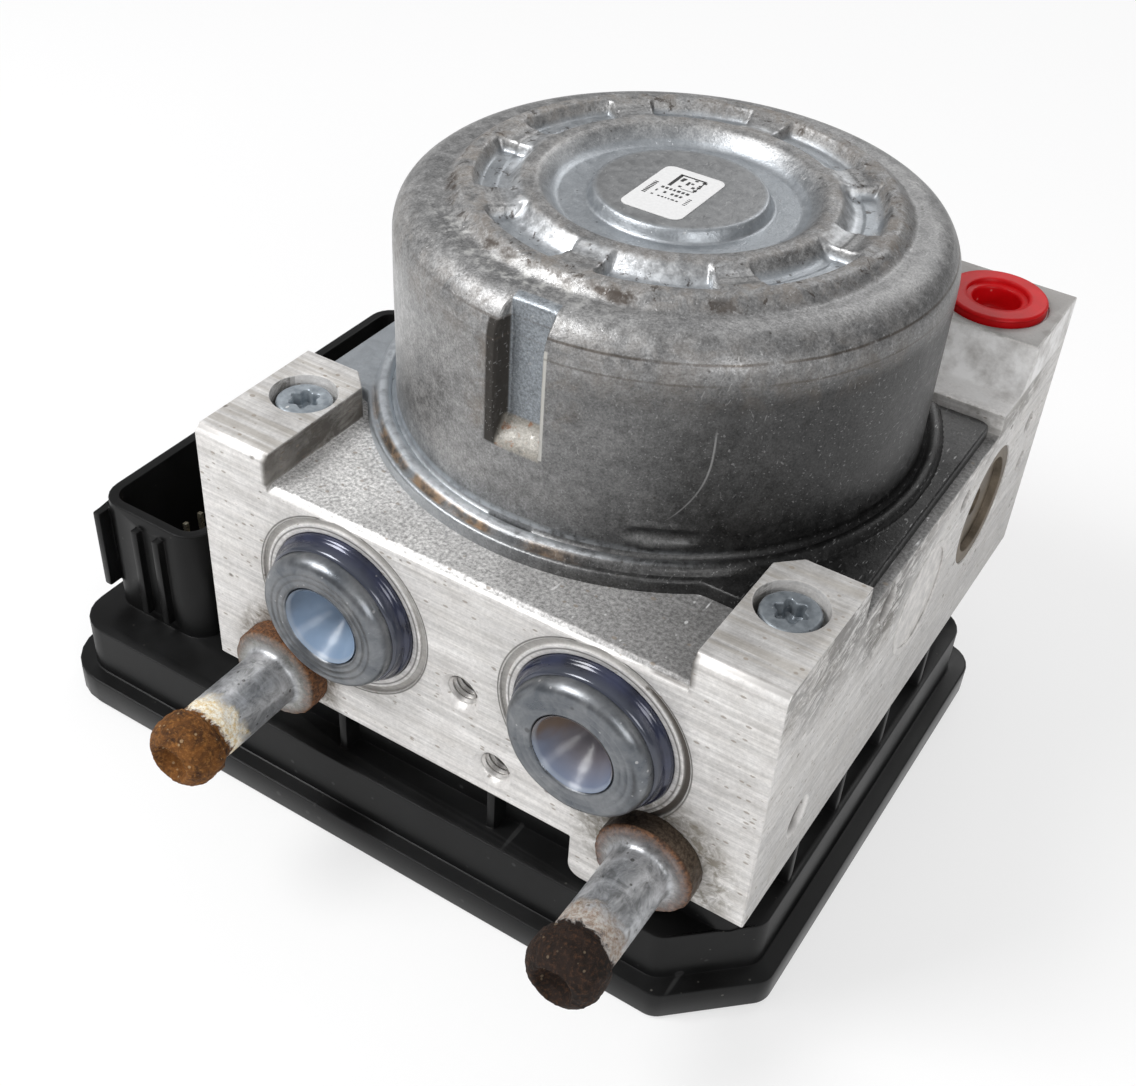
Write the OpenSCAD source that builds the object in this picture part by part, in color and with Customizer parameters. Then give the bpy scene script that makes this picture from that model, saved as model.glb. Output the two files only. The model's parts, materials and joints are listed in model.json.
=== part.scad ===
// Anti-lock brake module: valve block, pump motor, control unit.
// Origin: motor axis on the underside of the control unit. +Z runs up the motor axis,
// -Y is the front face with the two reservoir caps, -X is the connector side. Millimetres.

/* [Valve block] */
// Width of the block from side face to side face
block_w = 100; // [98:1:112]
// Length of the block from front face to rear face
block_l = 111.4; // [110:0.2:118]
// Distance from the front face back to the motor axis
axis_setback = 55; // [54:0.5:57]
// Height of the machined floor that the motor stands on
floor_h = 41.2; // [41:0.2:46]
// Height of the two front pads above the floor
pad_h = 5.6; // [4:0.2:9]
// Width of a front pad
pad_w = 13.8; // [12:0.2:14.4]
// Length of a front pad
pad_l = 26.6; // [24:0.2:27]
// Height of the rear ledge above the floor
ledge_h = 3.8; // [3:0.2:5]
// Length of the rear ledge
ledge_l = 10.1; // [9:0.1:11]
// Height of the rear port rib above the floor
rib_h = 12; // [10:0.5:16]
// Thickness of the rear port rib
rib_t = 20.5; // [20:0.5:24]
// Cut across the inner rear corner of a pad
pad_corner = 3.4; // [3:0.1:5]
// Chamfer along the front top edges
edge_chamfer = 1.2; // [0.6:0.1:1.4]
// Radius of the cove between ledge and rib
cove_r = 4.5; // [2:0.5:6]
// Width of the tab below the front face
tab_w = 14.3; // [10:0.1:16]
// Depth of the tab below the underside
tab_h = 8.5; // [6:0.1:9]
// Thickness of the tab
tab_t = 4.4; // [3:0.1:4.4]

/* [Motor housing] */
// Outer radius of the drawn motor can
can_r = 42.8; // [42:0.1:43.4]
// Height of the can from the block floor to the top crest
can_h = 39.6; // [37.8:0.2:44]
// Sheet thickness of the can
can_wall = 1.8; // [1.4:0.1:2]
// Radius of the rounded shoulder
shoulder_r = 6.2; // [6:0.1:8]
// Width of the flat rim between the shoulder and the raised ring
rim_w = 1.4; // [0.8:0.1:1.8]
// Thickness of the mounting flange
flange_t = 2.2; // [1.8:0.1:3]
// How far the round flange lobe stands out past the can
lobe_out = 4.6; // [3:0.1:4.8]
// Side inset of the flange from the block
flange_inset = 1.8; // [1:0.1:3]
// How far the flange's ear runs forward beside the right pad
flange_ear = 10.1; // [8:0.1:10.5]
// Radius of the bead pressed round the foot of the can
bead_r = 1.4; // [1:0.1:1.6]
// Radius of the centre hub
hub_r = 13.5; // [13.2:0.1:14.5]
// Depth of the hub top below the crest
hub_drop = 0.9; // [0.6:0.1:1.2]
// Depth of the dish round the hub below the crest
dish_drop = 2.8; // [2:0.1:3]
// Width of the raised ring, from its foot on the rim to the dish
ring_w = 15.9; // [15.4:0.1:17]
// Width of each ridge of the raised ring
ridge_w = 2.6; // [2:0.1:3]
// Depth of the plain rim below the crest
rim_drop = 1.9; // [1.5:0.1:2.2]
// Number of pressed pockets in the raised ring
pocket_count = 8; // [6:1:10]
// Angle that one pocket spans
pocket_angle = 32; // [20:1:33]
// Depth of the pockets
pocket_depth = 2.3; // [1.6:0.1:2.3]
// Width of the pressed groove in the front of the can
groove_w = 8.6; // [6:0.2:9]
// Depth of the pressed groove
groove_depth = 3.5; // [2:0.1:3.6]
// Height of the groove's foot above the block floor
groove_foot = 14.4; // [12:0.2:18]
// Height of the sloping seat below the groove floor
groove_slope = 4.1; // [2:0.1:5]
// Size of the label on the hub
label_size = [10.2, 15.4];
// Thickness of the label
label_t = 0.15; // [0.1:0.05:0.3]

/* [Motor parts] */
// Radius of the rotor shaft
shaft_r = 5; // [4.5:0.1:5.4]
// Air gap between magnets and armature core
air_gap = 1.4; // [1:0.1:2]
// Height of the armature core
core_h = 13.5; // [10:0.5:14]
// Number of armature teeth
tooth_count = 12; // [10:1:12]
// Width of one armature tooth
tooth_w = 4; // [3:0.1:4.4]
// Radial thickness of the magnets
magnet_t = 6.4; // [5:0.1:6.6]
// Height of the magnets
magnet_h = 22; // [18:0.5:23]
// Angle that one magnet spans
magnet_angle = 66; // [50:1:67]
// Radius of the commutator
commutator_r = 9; // [8.4:0.1:10]
// Height of the commutator
commutator_h = 6; // [5.6:0.1:6.4]
// Size of a brush: length, width, height
brush_size = [10, 6, 4.4];
// Thickness of the brush plate
plate_t = 2.4; // [2:0.1:2.8]
// Outer radius and thickness of the upper bearing
upper_bearing = [11, 5];
// Outer radius and thickness of the lower bearing
lower_bearing = [13, 8];

/* [Pump] */
// Height of the pump axis above the underside of the block
pump_h = 24.5; // [24:0.1:26]
// Throw of the eccentric
throw = 1; // [0.6:0.1:1.2]
// Outer radius and height of the eccentric ring
ecc_ring = [9, 8];
// Radius of a pump piston
piston_r = 3.5; // [3:0.1:4]
// Length of a pump piston
piston_l = 15; // [12:0.5:17]
// Outer radius of a pump sleeve
sleeve_r = 8; // [7.4:0.1:8.2]
// Radius and thickness of a pump plug
pump_plug = [9, 6];
// Radius and thickness of a damper plug
damper_plug = [10.9, 6];
// Distance of the damper chambers behind the motor axis
damper_y = 28.1; // [27.6:0.1:28.6]
// Height of the damper chambers above the underside of the block
damper_h = 25.5; // [25:0.1:26.5]

/* [Reservoirs] */
// Distance between the axes of the two reservoirs
reservoir_pitch = 45; // [44:0.5:48]
// Height of the reservoir axes above the underside of the block
reservoir_h = 24.3; // [24:0.1:25]
// Radius of a cap's seat in the front face
seat_r = 13.35; // [13:0.05:13.6]
// Depth of a cap's seat
seat_depth = 7; // [6:0.5:8]
// Radius of the cylinder behind the seat
cylinder_r = 12.3; // [11.5:0.1:12.4]
// Radius of the cap's body where it stands proud
cap_r = 11.8; // [11.2:0.1:12]
// How far the cap stands proud of the front face
cap_proud = 5.6; // [4:0.1:8]
// Radius of the rounded rim of the cap
cap_rim_r = 2.1; // [1.5:0.1:2.4]
// Radius of the funnel mouth in the cap
funnel_r = 6.7; // [6:0.1:7.4]
// Length of a reservoir piston
cup_l = 10; // [9:0.5:11]
// Stroke of a reservoir piston
cup_stroke = 8; // [5:0.5:8]

/* [Fasteners and plugs] */
// Distance between the two mounting studs
stud_pitch = 69.2; // [66:0.2:70]
// Height of the studs above the underside of the block
stud_h = 6.1; // [5.8:0.1:6.6]
// Radius of a stud's shank
stud_r = 5; // [4.5:0.1:5.4]
// Radius and thickness of a stud's flange
stud_flange = [8.1, 4];
// Distance from the front face to the tip of a stud
stud_out = 27.6; // [24:0.2:32]
// Radius and thickness of a stud's head
stud_head = [5.9, 6.6];
// Thread radius of a stud
stud_thread_r = 4; // [3:0.1:4]
// Length of a stud's thread
stud_thread_l = 12; // [9:0.5:13]
// Distance between the two control unit screws
screw_pitch = 84.8; // [84:0.2:85.4]
// Distance of those screws behind the front face
screw_y = 16.5; // [14:0.1:17]
// Radius of their shank
screw_r = 2.5; // [2:0.1:2.7]
// Radius and thickness of their heads
screw_head = [4.45, 4.2];
// Length of their shank
screw_l = 52; // [50:0.5:53]
// Radius of the counterbores
counterbore_r = 5.35; // [5:0.05:5.6]
// Depth of the screw heads below the pad surface
head_drop = 1; // [0.5:0.1:2]
// Places of the threaded bracket holes: across, and up from the underside
bracket_holes = [[-0.5, 18.4], [5.8, 5.5]];
// Radius and depth of the bracket holes
bracket_hole = [2.6, 12];
// Distance of the outer ports from the side faces
port_inset = 11; // [10:0.5:12]
// Number of ports in the rear face
rear_port_count = 4; // [2:1:4]
// Height of the rear ports above the underside of the block
rear_port_h = 29; // [28:0.5:31]
// Thread radius and depth of a brake line port
port_bore = [5.5, 13];
// Radius and depth of the spot face round a port
port_face = [8.9, 0.6];
// Flange radius and thickness of a port plug
port_plug_flange = [8.6, 2];
// Radius of the hollow in a port plug
port_plug_hollow_r = 4.1; // [3:0.1:4.4]

/* [Control unit] */
// Total height of the control unit
unit_h = 26; // [26:0.5:30]
// Height of the lower flange
unit_flange_h = 6; // [5:0.2:7]
// Height of the body deck
deck_h = 16; // [15.6:0.2:16.6]
// Reach of the lower flange from the motor axis: left, right, front, rear
reach_left = 89; // [88:0.5:96]
reach_right = 53.5; // [53:0.5:58]
reach_front = 59.7; // [59:0.1:64]
reach_rear = 44; // [43.5:0.5:50]
// Step in from the lower flange to the body
unit_step = 3; // [2:0.1:3.4]
// Wall thickness of the control unit
unit_wall = 2.4; // [2:0.1:2.6]
// Corner radius of the lower flange
unit_corner_r = 10; // [6:0.5:12]
// Width and length of the cut-off front corner
corner_cut = [13.5, 12.7];
// Thickness of the lid
lid_t = 2.4; // [1.6:0.1:2.6]
// Thickness of the circuit board
board_t = 1.6; // [1:0.1:1.8]
// Inset of the neck under the block from the block's sides and front
neck_inset = [2.6, 4.8];
// Reach of the neck behind the motor axis
neck_rear = 38; // [36:0.5:39]
// Thickness of the gasket under the block
gasket_t = 0.8; // [0.5:0.1:1]
// Thickness of the ribs round the neck
neck_rib_t = 1.6; // [1.2:0.1:2.4]
// Outer width and length of the connector shroud
shroud_size = [23, 83.4];
// Height of the shroud rim above the base
shroud_h = 39.5; // [36:0.5:42]
// Gap between the shroud and the block
shroud_gap = 11; // [10:0.5:12]
// Distance of the shroud's front wall from the front of the lower flange
shroud_setback = 11.3; // [11:0.1:13]
// Wall thickness of the shroud
shroud_wall = 2; // [1.6:0.1:2.4]
// Corner radius of the shroud
shroud_corner_r = 5; // [4:0.5:6]
// Height of the contact pins above the shroud floor
pin_h = 11; // [8:0.5:13]
// Number of contact pins in one row
pin_count = 14; // [10:1:15]
// Spacing of the contact pins
pin_pitch = 3.8; // [3.4:0.1:4]

/* [Solenoid valves] */
// Gap between the outermost coils and the wall of the neck
coil_wall_gap = 2.4; // [2:0.1:3]
// Distance of the two valve rows from the motor axis
valve_row = 15.6; // [15:0.2:16]
// Radius and depth of a valve cartridge in the block
valve_body = [5, 13];
// Radius of a valve's dome
dome_r = 3; // [2.6:0.1:3.4]
// Outer radius of a coil
coil_r = 8.7; // [8:0.1:9]
// Height of a coil
coil_h = 13.5; // [12:0.1:13.6]

/* [Clearances] */
// Radial gap of a part seated in its bore
seat_gap = 0.04; // [0.02:0.01:0.06]
// Radial gap of a part that turns or slides
run_gap = 0.06; // [0.04:0.01:0.1]
// Gap between the can and its pocket in the block
pocket_gap = 1.2; // [0.8:0.1:1.6]

/* [Hidden] */
$fn = 72;
// Overlap that lets two shapes of one piece merge
merge = 0.5;
front_y = -axis_setback;
rear_y = block_l - axis_setback;
base_z = unit_h;
floor_z = base_z + floor_h;
pad_z = floor_z + pad_h;
ledge_z = floor_z + ledge_h;
rib_z = floor_z + rib_h;
rib_y = rear_y - rib_t;
ledge_y = rib_y - ledge_l;
pump_z = base_z + pump_h;
reservoir_z = base_z + reservoir_h;
stud_z = base_z + stud_h;
crest_z = floor_z + can_h;
flange_z = floor_z + flange_t;
can_in_r = can_r - can_wall;
roof_z = crest_z - dish_drop - can_wall;
bearing_top_z = crest_z - hub_drop - can_wall;
// The raised ring starts inside the flat rim
relief_r = can_r - shoulder_r - rim_w;
dish_r = relief_r - ring_w;
core_r = can_in_r - magnet_t - air_gap;
top_port_pitch = block_w - 2 * port_inset;
// Pump chamber round the eccentric, with room for the ring to swing
chamber_room = 1.5;
chamber_r = ecc_ring[0] + throw + chamber_room;
// The eccentric journal reaches past the shaft all round
journal_r = shaft_r + throw + 0.25;
chamber_floor_z = pump_z - ecc_ring[1] / 2 - chamber_room - merge;
// Radial thickness of the bands that seal the caps
band_t = 1.5;
// Foot of the can in its pocket, and gap between its flange and the block's steps
foot_r = can_r + pocket_gap - 0.5;
flange_gap = 0.6;
// Reservoir cylinder behind the seat: the piston, its stroke, and room at both ends
cylinder_l = cup_l + cup_stroke + 2;

// Points of an arc about (x, y), from angle a0 to angle a1
function arc(x, y, r, a0, a1, n = 10) =
    [for (i = [0:n]) let (a = a0 + (a1 - a0) * i / n) [x + r * cos(a), y + r * sin(a)]];

function unit_vector(v) = v / norm(v);

// Corners of an outline, each rounded with its own radius, listed anticlockwise
function rounded(corners, radii, n = 6) = [
    for (i = [0:len(corners) - 1])
        let (
            count = len(corners),
            here = corners[i],
            back = unit_vector(corners[(i + count - 1) % count] - here),
            ahead = unit_vector(corners[(i + 1) % count] - here),
            half = acos(back * ahead) / 2,
            centre = here + unit_vector(back + ahead) * radii[i] / sin(half),
            start = here + back * radii[i] / tan(half) - centre,
            a0 = atan2(start[1], start[0])
        )
        for (k = [0:n]) let (a = a0 + (180 - 2 * half) * k / n)
            centre + radii[i] * [cos(a), sin(a)]
];

function rectangle(x0, y0, x1, y1) = [[x0, y0], [x1, y0], [x1, y1], [x0, y1]];

module rounded_box(x0, y0, x1, y1, r, z0, z1) {
    translate([0, 0, z0])
        linear_extrude(z1 - z0)
            polygon(rounded(rectangle(x0, y0, x1, y1), [r, r, r, r]));
}

// Children drawn along +Z point along +X, -X or -Y instead
module to_right() rotate([0, 90, 0]) children();
module to_front() rotate([90, 0, 0]) children();
module to_rear() rotate([-90, 0, 0]) children();

module tube(r, bore, h) {
    difference() {
        cylinder(r = r, h = h);
        translate([0, 0, -merge]) cylinder(r = bore, h = h + 2 * merge);
    }
}

// A cylinder with its top edge chamfered by c
module chamfered(r, h, c) {
    cylinder(r = r, h = h - c);
    translate([0, 0, h - c]) cylinder(r1 = r, r2 = r - c, h = c);
}

// Six-lobed drive socket, r across the lobes
module drive_socket(r, depth) {
    root_r = 0.72 * r;
    lobe_r = 0.24 * r;
    cylinder(r = root_r, h = depth);
    for (a = [0:60:300])
        rotate([0, 0, a]) translate([r - lobe_r, 0, 0]) cylinder(r = lobe_r, h = depth, $fn = 24);
}

// A coil spring that stands on z = 0, with closed ends laid flat
module coil_spring(r, wire_r, height, turns, steps, sides) {
    rings = turns * steps;
    low = wire_r;
    high = height - wire_r;
    points = [
        for (i = [0:rings])
            let (a = 360 * i / steps, z = low + (high - low) * i / rings)
            for (k = [0:sides - 1])
                let (b = 360 * k / sides, reach = r + wire_r * cos(b))
                [reach * cos(a), reach * sin(a), z + wire_r * sin(b)]
    ];
    walls = [
        for (i = [0:rings - 1])
            for (k = [0:sides - 1])
                let (next = (k + 1) % sides)
                [i * sides + k, (i + 1) * sides + k, (i + 1) * sides + next, i * sides + next]
    ];
    start_cap = [for (k = [0:sides - 1]) k];
    end_cap = [for (k = [sides - 1:-1:0]) rings * sides + k];
    polyhedron(points = points, faces = concat([start_cap, end_cap], walls));
}

// Valve block

// Side profile of the block, drawn in the Y-Z plane
module block_profile() {
    polygon([
        [front_y, base_z], [rear_y, base_z], [rear_y, rib_z], [rib_y, rib_z], [rib_y, ledge_z],
        [ledge_y, ledge_z], [ledge_y, floor_z], [front_y, floor_z]
    ]);
    difference() {
        translate([rib_y - cove_r, ledge_z - merge]) square([cove_r + merge, cove_r + merge]);
        translate([rib_y - cove_r, ledge_z + cove_r]) circle(cove_r);
    }
}

// A front pad, with its inner rear corner cut to clear the motor flange
module pad(side) {
    inner = block_w / 2 - pad_w;
    outer = block_w / 2;
    end = front_y + pad_l;
    mirror([side < 0 ? 1 : 0, 0, 0])
        translate([0, 0, floor_z - merge])
            linear_extrude(pad_h + merge)
                polygon([[inner, front_y], [outer, front_y], [outer, end],
                    [inner + pad_corner, end], [inner, end - pad_corner]]);
}

// Chamfer cut along a front top edge, from x0 to x1 at height z
module front_chamfer(x0, x1, z) {
    low = edge_chamfer + merge;
    translate([x0, 0, 0]) rotate([90, 0, 90]) linear_extrude(x1 - x0)
        polygon([[front_y - merge, z - low], [front_y + low, z + merge], [front_y - merge, z + merge]]);
}

module tab() {
    r = 2.5;
    left = stud_pitch / 2 - tab_w;
    translate([left, front_y + tab_t, base_z - tab_h])
        to_front()
            linear_extrude(tab_t) {
                translate([0, r]) square([tab_w, tab_h - r + merge]);
                translate([r, 0]) square([tab_w - 2 * r, r + merge]);
                translate([r, r]) circle(r);
                translate([tab_w - r, r]) circle(r);
            }
}

// A bore along Z from z = 0 upwards, closed by the cone of the drill
drill_point = 0.58;

module drilled(r, depth) {
    cylinder(r = r, h = depth);
    translate([0, 0, depth]) cylinder(r1 = r, r2 = 0, h = r * drill_point);
}

module port_bore_cut() {
    translate([0, 0, -port_face[1]]) cylinder(r = port_face[0], h = port_face[1] + merge);
    translate([0, 0, -port_bore[1]]) cylinder(r = port_bore[0], h = port_bore[1]);
}

// Places of the brake line ports, each with its mouth at z = 0 facing +Z
module top_port(side) {
    translate([side * top_port_pitch / 2, rear_y - rib_t / 2, rib_z]) children();
}
module rear_port(i) {
    step = top_port_pitch / (rear_port_count - 1);
    translate([-top_port_pitch / 2 + i * step, rear_y, base_z + rear_port_h])
        to_rear() children();
}

module reservoir_axis(side) {
    translate([side * reservoir_pitch / 2, front_y, reservoir_z]) to_front() children();
}

module reservoir_bore() {
    ring_in = seat_r + 1.5;
    ring_w = 1;
    ring_depth = 0.5;
    translate([0, 0, -seat_depth]) cylinder(r = seat_r, h = seat_depth + merge);
    translate([0, 0, -seat_depth - cylinder_l]) cylinder(r = cylinder_r, h = cylinder_l + merge);
    translate([0, 0, -ring_depth]) tube(ring_in + ring_w, ring_in, ring_depth + merge);
}

module stud_axis(side) {
    translate([side * stud_pitch / 2, front_y, stud_z]) to_front() children();
}

module screw_place(side) {
    translate([side * screw_pitch / 2, front_y + screw_y, 0]) children();
}

// Places of the four valves of one row, spread over the width of the neck
valve_pitch = (block_w / 2 - neck_inset[0] - unit_wall - coil_wall_gap - coil_r) / 1.5;

module valve_places(row) {
    for (i = [-1.5:1:1.5])
        translate([i * valve_pitch, row * valve_row, base_z]) children();
}

// Small cross-drillings in the right face: distance behind the axis, height in the block, radius
gallery_holes = [[13.7, 35.4, 2], [46.5, 32.6, 2], [49, 22.7, 2]];
gallery_depth = 6;
gallery_ball_sink = 0.6;
drain_hole = [-18.6, 36.4, 3];
drain_depth = 5;
side_thread = [-39.8, 10];
// Damper chamber behind its plug: step in from the plug's bore, and length
damper_chamber = [2.4, 18];
// Cone at the mouth of a threaded bracket hole
thread_lead = 1;
// Radial gap round the shank of a unit screw
shank_gap = 0.3;
// The side thread ends short of the bore of the unit screw behind it
side_thread_wall = 0.6;
side_thread_depth = block_w / 2 - screw_pitch / 2 - screw_r - shank_gap - side_thread_wall;

module right_face(y, height) {
    translate([block_w / 2, y, base_z + height]) to_right() children();
}

// A hole drilled inwards from the right face
module right_drilling(place, r, depth) {
    right_face(place[0], place[1]) translate([0, 0, -depth]) cylinder(r = r, h = depth + merge);
}

// Bores that reach in from each side face: pump sleeve and plug, damper chamber and plug
module side_bores() {
    translate([chamber_r - chamber_room, 0, pump_z])
        to_right() cylinder(r = sleeve_r + seat_gap, h = block_w / 2);
    right_drilling([0, pump_h], pump_plug[0] + seat_gap, pump_plug[1]);
    right_drilling([damper_y, damper_h], damper_plug[0] + seat_gap, damper_plug[1]);
    right_drilling([damper_y, damper_h], damper_plug[0] - damper_chamber[0],
        damper_plug[1] + damper_chamber[1]);
}

module screw_bore() {
    head_depth = screw_head[1] + head_drop;
    translate([0, 0, base_z - merge]) cylinder(r = screw_r + shank_gap, h = floor_h + pad_h);
    translate([0, 0, pad_z - head_depth]) cylinder(r = counterbore_r, h = head_depth + merge);
}

// Cone at the mouth of a threaded hole, cut down from z = 0
module thread_mouth() {
    translate([0, 0, -thread_lead])
        cylinder(r1 = bracket_hole[0], r2 = bracket_hole[0] + thread_lead, h = thread_lead);
}

module bracket_bore(place) {
    translate([place[0], front_y, base_z + place[1]]) to_rear() {
        translate([0, 0, -merge]) drilled(bracket_hole[0], bracket_hole[1] + merge);
        mirror([0, 0, 1]) thread_mouth();
    }
}

module valve_block() {
    inner_x = block_w / 2 - pad_w;
    outer_x = block_w / 2 + merge;
    color([0.80, 0.80, 0.77]) difference() {
        union() {
            translate([-block_w / 2, 0, 0])
                rotate([90, 0, 90]) linear_extrude(block_w) block_profile();
            pad(-1);
            pad(1);
            tab();
        }
        translate([0, 0, floor_z]) cylinder(r = can_r + pocket_gap, h = rib_h + merge);
        front_chamfer(-inner_x, inner_x, floor_z);
        front_chamfer(-outer_x, merge - inner_x, pad_z);
        front_chamfer(inner_x - merge, outer_x, pad_z);
        translate([0, 0, floor_z - lower_bearing[1]])
            cylinder(r = lower_bearing[0] + seat_gap, h = lower_bearing[1] + merge);
        translate([0, 0, chamber_floor_z]) cylinder(r = chamber_r, h = floor_z - chamber_floor_z);
        for (side = [-1, 1]) {
            mirror([side < 0 ? 1 : 0, 0, 0]) side_bores();
            reservoir_axis(side) reservoir_bore();
            stud_axis(side) translate([0, 0, merge]) rotate([180, 0, 0])
                drilled(stud_thread_r + seat_gap, stud_thread_l + 2 * merge);
            screw_place(side) screw_bore();
            top_port(side) port_bore_cut();
        }
        for (i = [0:rear_port_count - 1]) rear_port(i) port_bore_cut();
        for (row = [-1, 1])
            valve_places(row) translate([0, 0, -merge])
                cylinder(r = valve_body[0] + seat_gap, h = valve_body[1] + merge);
        for (place = bracket_holes) bracket_bore(place);
        for (hole = gallery_holes) right_drilling(hole, hole[2], gallery_depth);
        right_drilling(drain_hole, drain_hole[2], drain_depth);
        right_drilling(side_thread, bracket_hole[0], side_thread_depth);
        right_face(side_thread[0], side_thread[1]) thread_mouth();
    }
}

// Plug staked into a side face, with a shallow dished face, drawn outwards along +Z
module dished_plug(r, t) {
    sink = 0.3;
    lip = 2.2;
    dish = 1.3;
    key_r = 2.4;
    key = 2.7;
    difference() {
        translate([0, 0, -t]) cylinder(r = r, h = t - sink);
        translate([0, 0, -sink - dish]) cylinder(r = r - lip, h = dish + merge);
        translate([0, 0, -sink - key]) cylinder(r = key_r, h = key);
    }
}

module pump_plug(side) {
    color([0.66, 0.66, 0.64]) mirror([side < 0 ? 1 : 0, 0, 0])
        right_face(0, pump_h) dished_plug(pump_plug[0], pump_plug[1]);
}

module damper_plug(side) {
    color([0.62, 0.62, 0.60]) mirror([side < 0 ? 1 : 0, 0, 0])
        right_face(damper_y, damper_h) dished_plug(damper_plug[0], damper_plug[1]);
}

module gallery_balls() {
    color([0.55, 0.56, 0.57])
        for (hole = gallery_holes)
            right_face(hole[0], hole[1]) translate([0, 0, -hole[2] - gallery_ball_sink])
                sphere(r = hole[2] - seat_gap);
}

// Motor housing

// Ridges of the raised ring: foot step, height and run of their bevelled edges
relief_step = 0.5;
ridge_edge = 0.5;
ridge_run = 1.2;
ridge_out = relief_r - ridge_run - 1;
ridge_in = dish_r + ridge_run + 1.2;

// Half section of the can: outside from the foot to the hub, then back along the inside
module can_section() {
    hub_z = crest_z - hub_drop;
    hub_edge = 1.6;
    dish_z = crest_z - dish_drop;
    rim_z = crest_z - rim_drop;
    collar_r = upper_bearing[0] + seat_gap;
    collar_z = bearing_top_z - upper_bearing[1];
    inner_shoulder = shoulder_r - can_wall;
    polygon(concat(
        [[can_in_r, floor_z], [can_r, floor_z]],
        arc(can_r - shoulder_r, rim_z - shoulder_r, shoulder_r, 0, 90, 8),
        [[relief_r, rim_z], [relief_r, rim_z + relief_step],
            [ridge_out + ridge_run, crest_z - ridge_edge],
            [ridge_out, crest_z], [ridge_in, crest_z], [ridge_in - ridge_run, crest_z - ridge_edge],
            [dish_r, dish_z], [hub_r + ridge_edge, dish_z]],
        arc(hub_r - hub_edge, hub_z - hub_edge, hub_edge, 0, 90, 5),
        [[0, hub_z], [0, bearing_top_z], [collar_r, bearing_top_z], [collar_r, collar_z],
            [collar_r + can_wall, collar_z], [collar_r + can_wall, roof_z]],
        arc(can_in_r - inner_shoulder, roof_z - inner_shoulder, inner_shoulder, 90, 0, 8)
    ));
}

// Outline of the motor flange on the block floor: square at the rear, a round lobe in front
// and an ear beside the right pad
module flange_outline() {
    half = block_w / 2 - flange_inset;
    front = front_y + pad_l + flange_gap;
    rear = ledge_y - flange_gap;
    lobe_r = can_r + lobe_out;
    ear_side = block_w / 2 - pad_w - flange_gap;
    ear_r = 1.2;
    intersection() {
        circle(lobe_r);
        translate([-half, -lobe_r]) square([2 * half, lobe_r + rear]);
    }
    circle(foot_r);
    translate([-half, front]) square([2 * half, rear - front]);
    polygon(concat(
        [[0, 0], [0, front - flange_ear]],
        arc(ear_side - ear_r, front - flange_ear + ear_r, ear_r, -90, 0, 6),
        [[ear_side, 0]]
    ));
}

// Bead pressed up round the foot of the can, as far as the block's rear ledge
module foot_bead() {
    fillet = 0.6;
    sink = 0.2;
    middle = can_r + fillet + bead_r;
    start = asin((ledge_y - 2 * flange_gap) / (middle + bead_r));
    rotate([0, 0, 180 - start])
        rotate_extrude(angle = 180 + 2 * start, $fn = 120)
            polygon(concat(
                [[can_r - can_wall / 2, flange_z - merge], [middle + bead_r, flange_z - merge]],
                arc(middle, flange_z - sink, bead_r, 0, 165, 8),
                [[can_r, flange_z + fillet], [can_r - can_wall / 2, flange_z + fillet]]
            ));
}

// One pocket of the raised ring, cut from the crest down
module pocket_cut() {
    outer = ridge_out - ridge_w;
    inner = ridge_in + ridge_w;
    slope = 1.1;
    rotate([0, 0, -pocket_angle / 2])
        rotate_extrude(angle = pocket_angle)
            polygon([[inner + slope, crest_z - pocket_depth], [outer - slope, crest_z - pocket_depth],
                [outer, crest_z + merge], [inner, crest_z + merge]]);
}

// Pressed groove up the front of the can, open at the shoulder
module groove_cut() {
    floor_y = -can_r + groove_depth;
    foot_z = floor_z + groove_foot + groove_slope;
    translate([-groove_w / 2, 0, 0])
        rotate([90, 0, 90])
            linear_extrude(groove_w)
                polygon([[floor_y, foot_z], [floor_y, crest_z + merge],
                    [-can_r - merge, crest_z + merge], [-can_r - merge, foot_z - groove_slope]]);
}

// Metal that stands inward behind the groove, so the wall stays closed
module groove_back() {
    back_y = -can_r + groove_depth + can_wall;
    low = floor_z + groove_foot - can_wall;
    half = groove_w / 2 + can_wall;
    sweep = 1;
    translate([-half, sweep - can_in_r - merge, low])
        cube([2 * half, back_y + can_in_r - sweep + merge, roof_z - low + merge]);
    translate([-half, -can_in_r - merge, low])
        cube([2 * half, sweep + merge, roof_z - can_wall - low]);
}

// Stamped mark low on the front of the can
module stamped_mark() {
    size = [7.4, 2.3];
    height = 6.4;
    depth = 0.6;
    rotate([0, 0, -60]) translate([can_r - depth, 0, floor_z + height]) to_right() {
        translate([-size[1] / 2, -size[0] / 2, 0]) cube([size[1], size[0], 2 * depth]);
        for (end = [-1, 1])
            translate([0, end * size[0] / 2, 0]) cylinder(r = size[1] / 2, h = 2 * depth, $fn = 24);
    }
}

module motor_can() {
    color([0.53, 0.54, 0.54]) difference() {
        union() {
            rotate_extrude($fn = 120) can_section();
            translate([0, 0, floor_z]) linear_extrude(flange_t) difference() {
                flange_outline();
                circle(can_in_r + can_wall / 2);
            }
            foot_bead();
            groove_back();
        }
        groove_cut();
        for (i = [0:pocket_count - 1])
            rotate([0, 0, (i + 0.5) * 360 / pocket_count]) pocket_cut();
        stamped_mark();
    }
}

module motor_label() {
    place = [-0.1, -2.2];
    corner_r = 1.5;
    x = label_size[0] / 2;
    y = label_size[1] / 2;
    z = crest_z - hub_drop;
    color([0.94, 0.94, 0.94]) translate(place)
        rounded_box(-x, -y, x, y, corner_r, z, z + label_t);
}

// Motor parts

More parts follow.
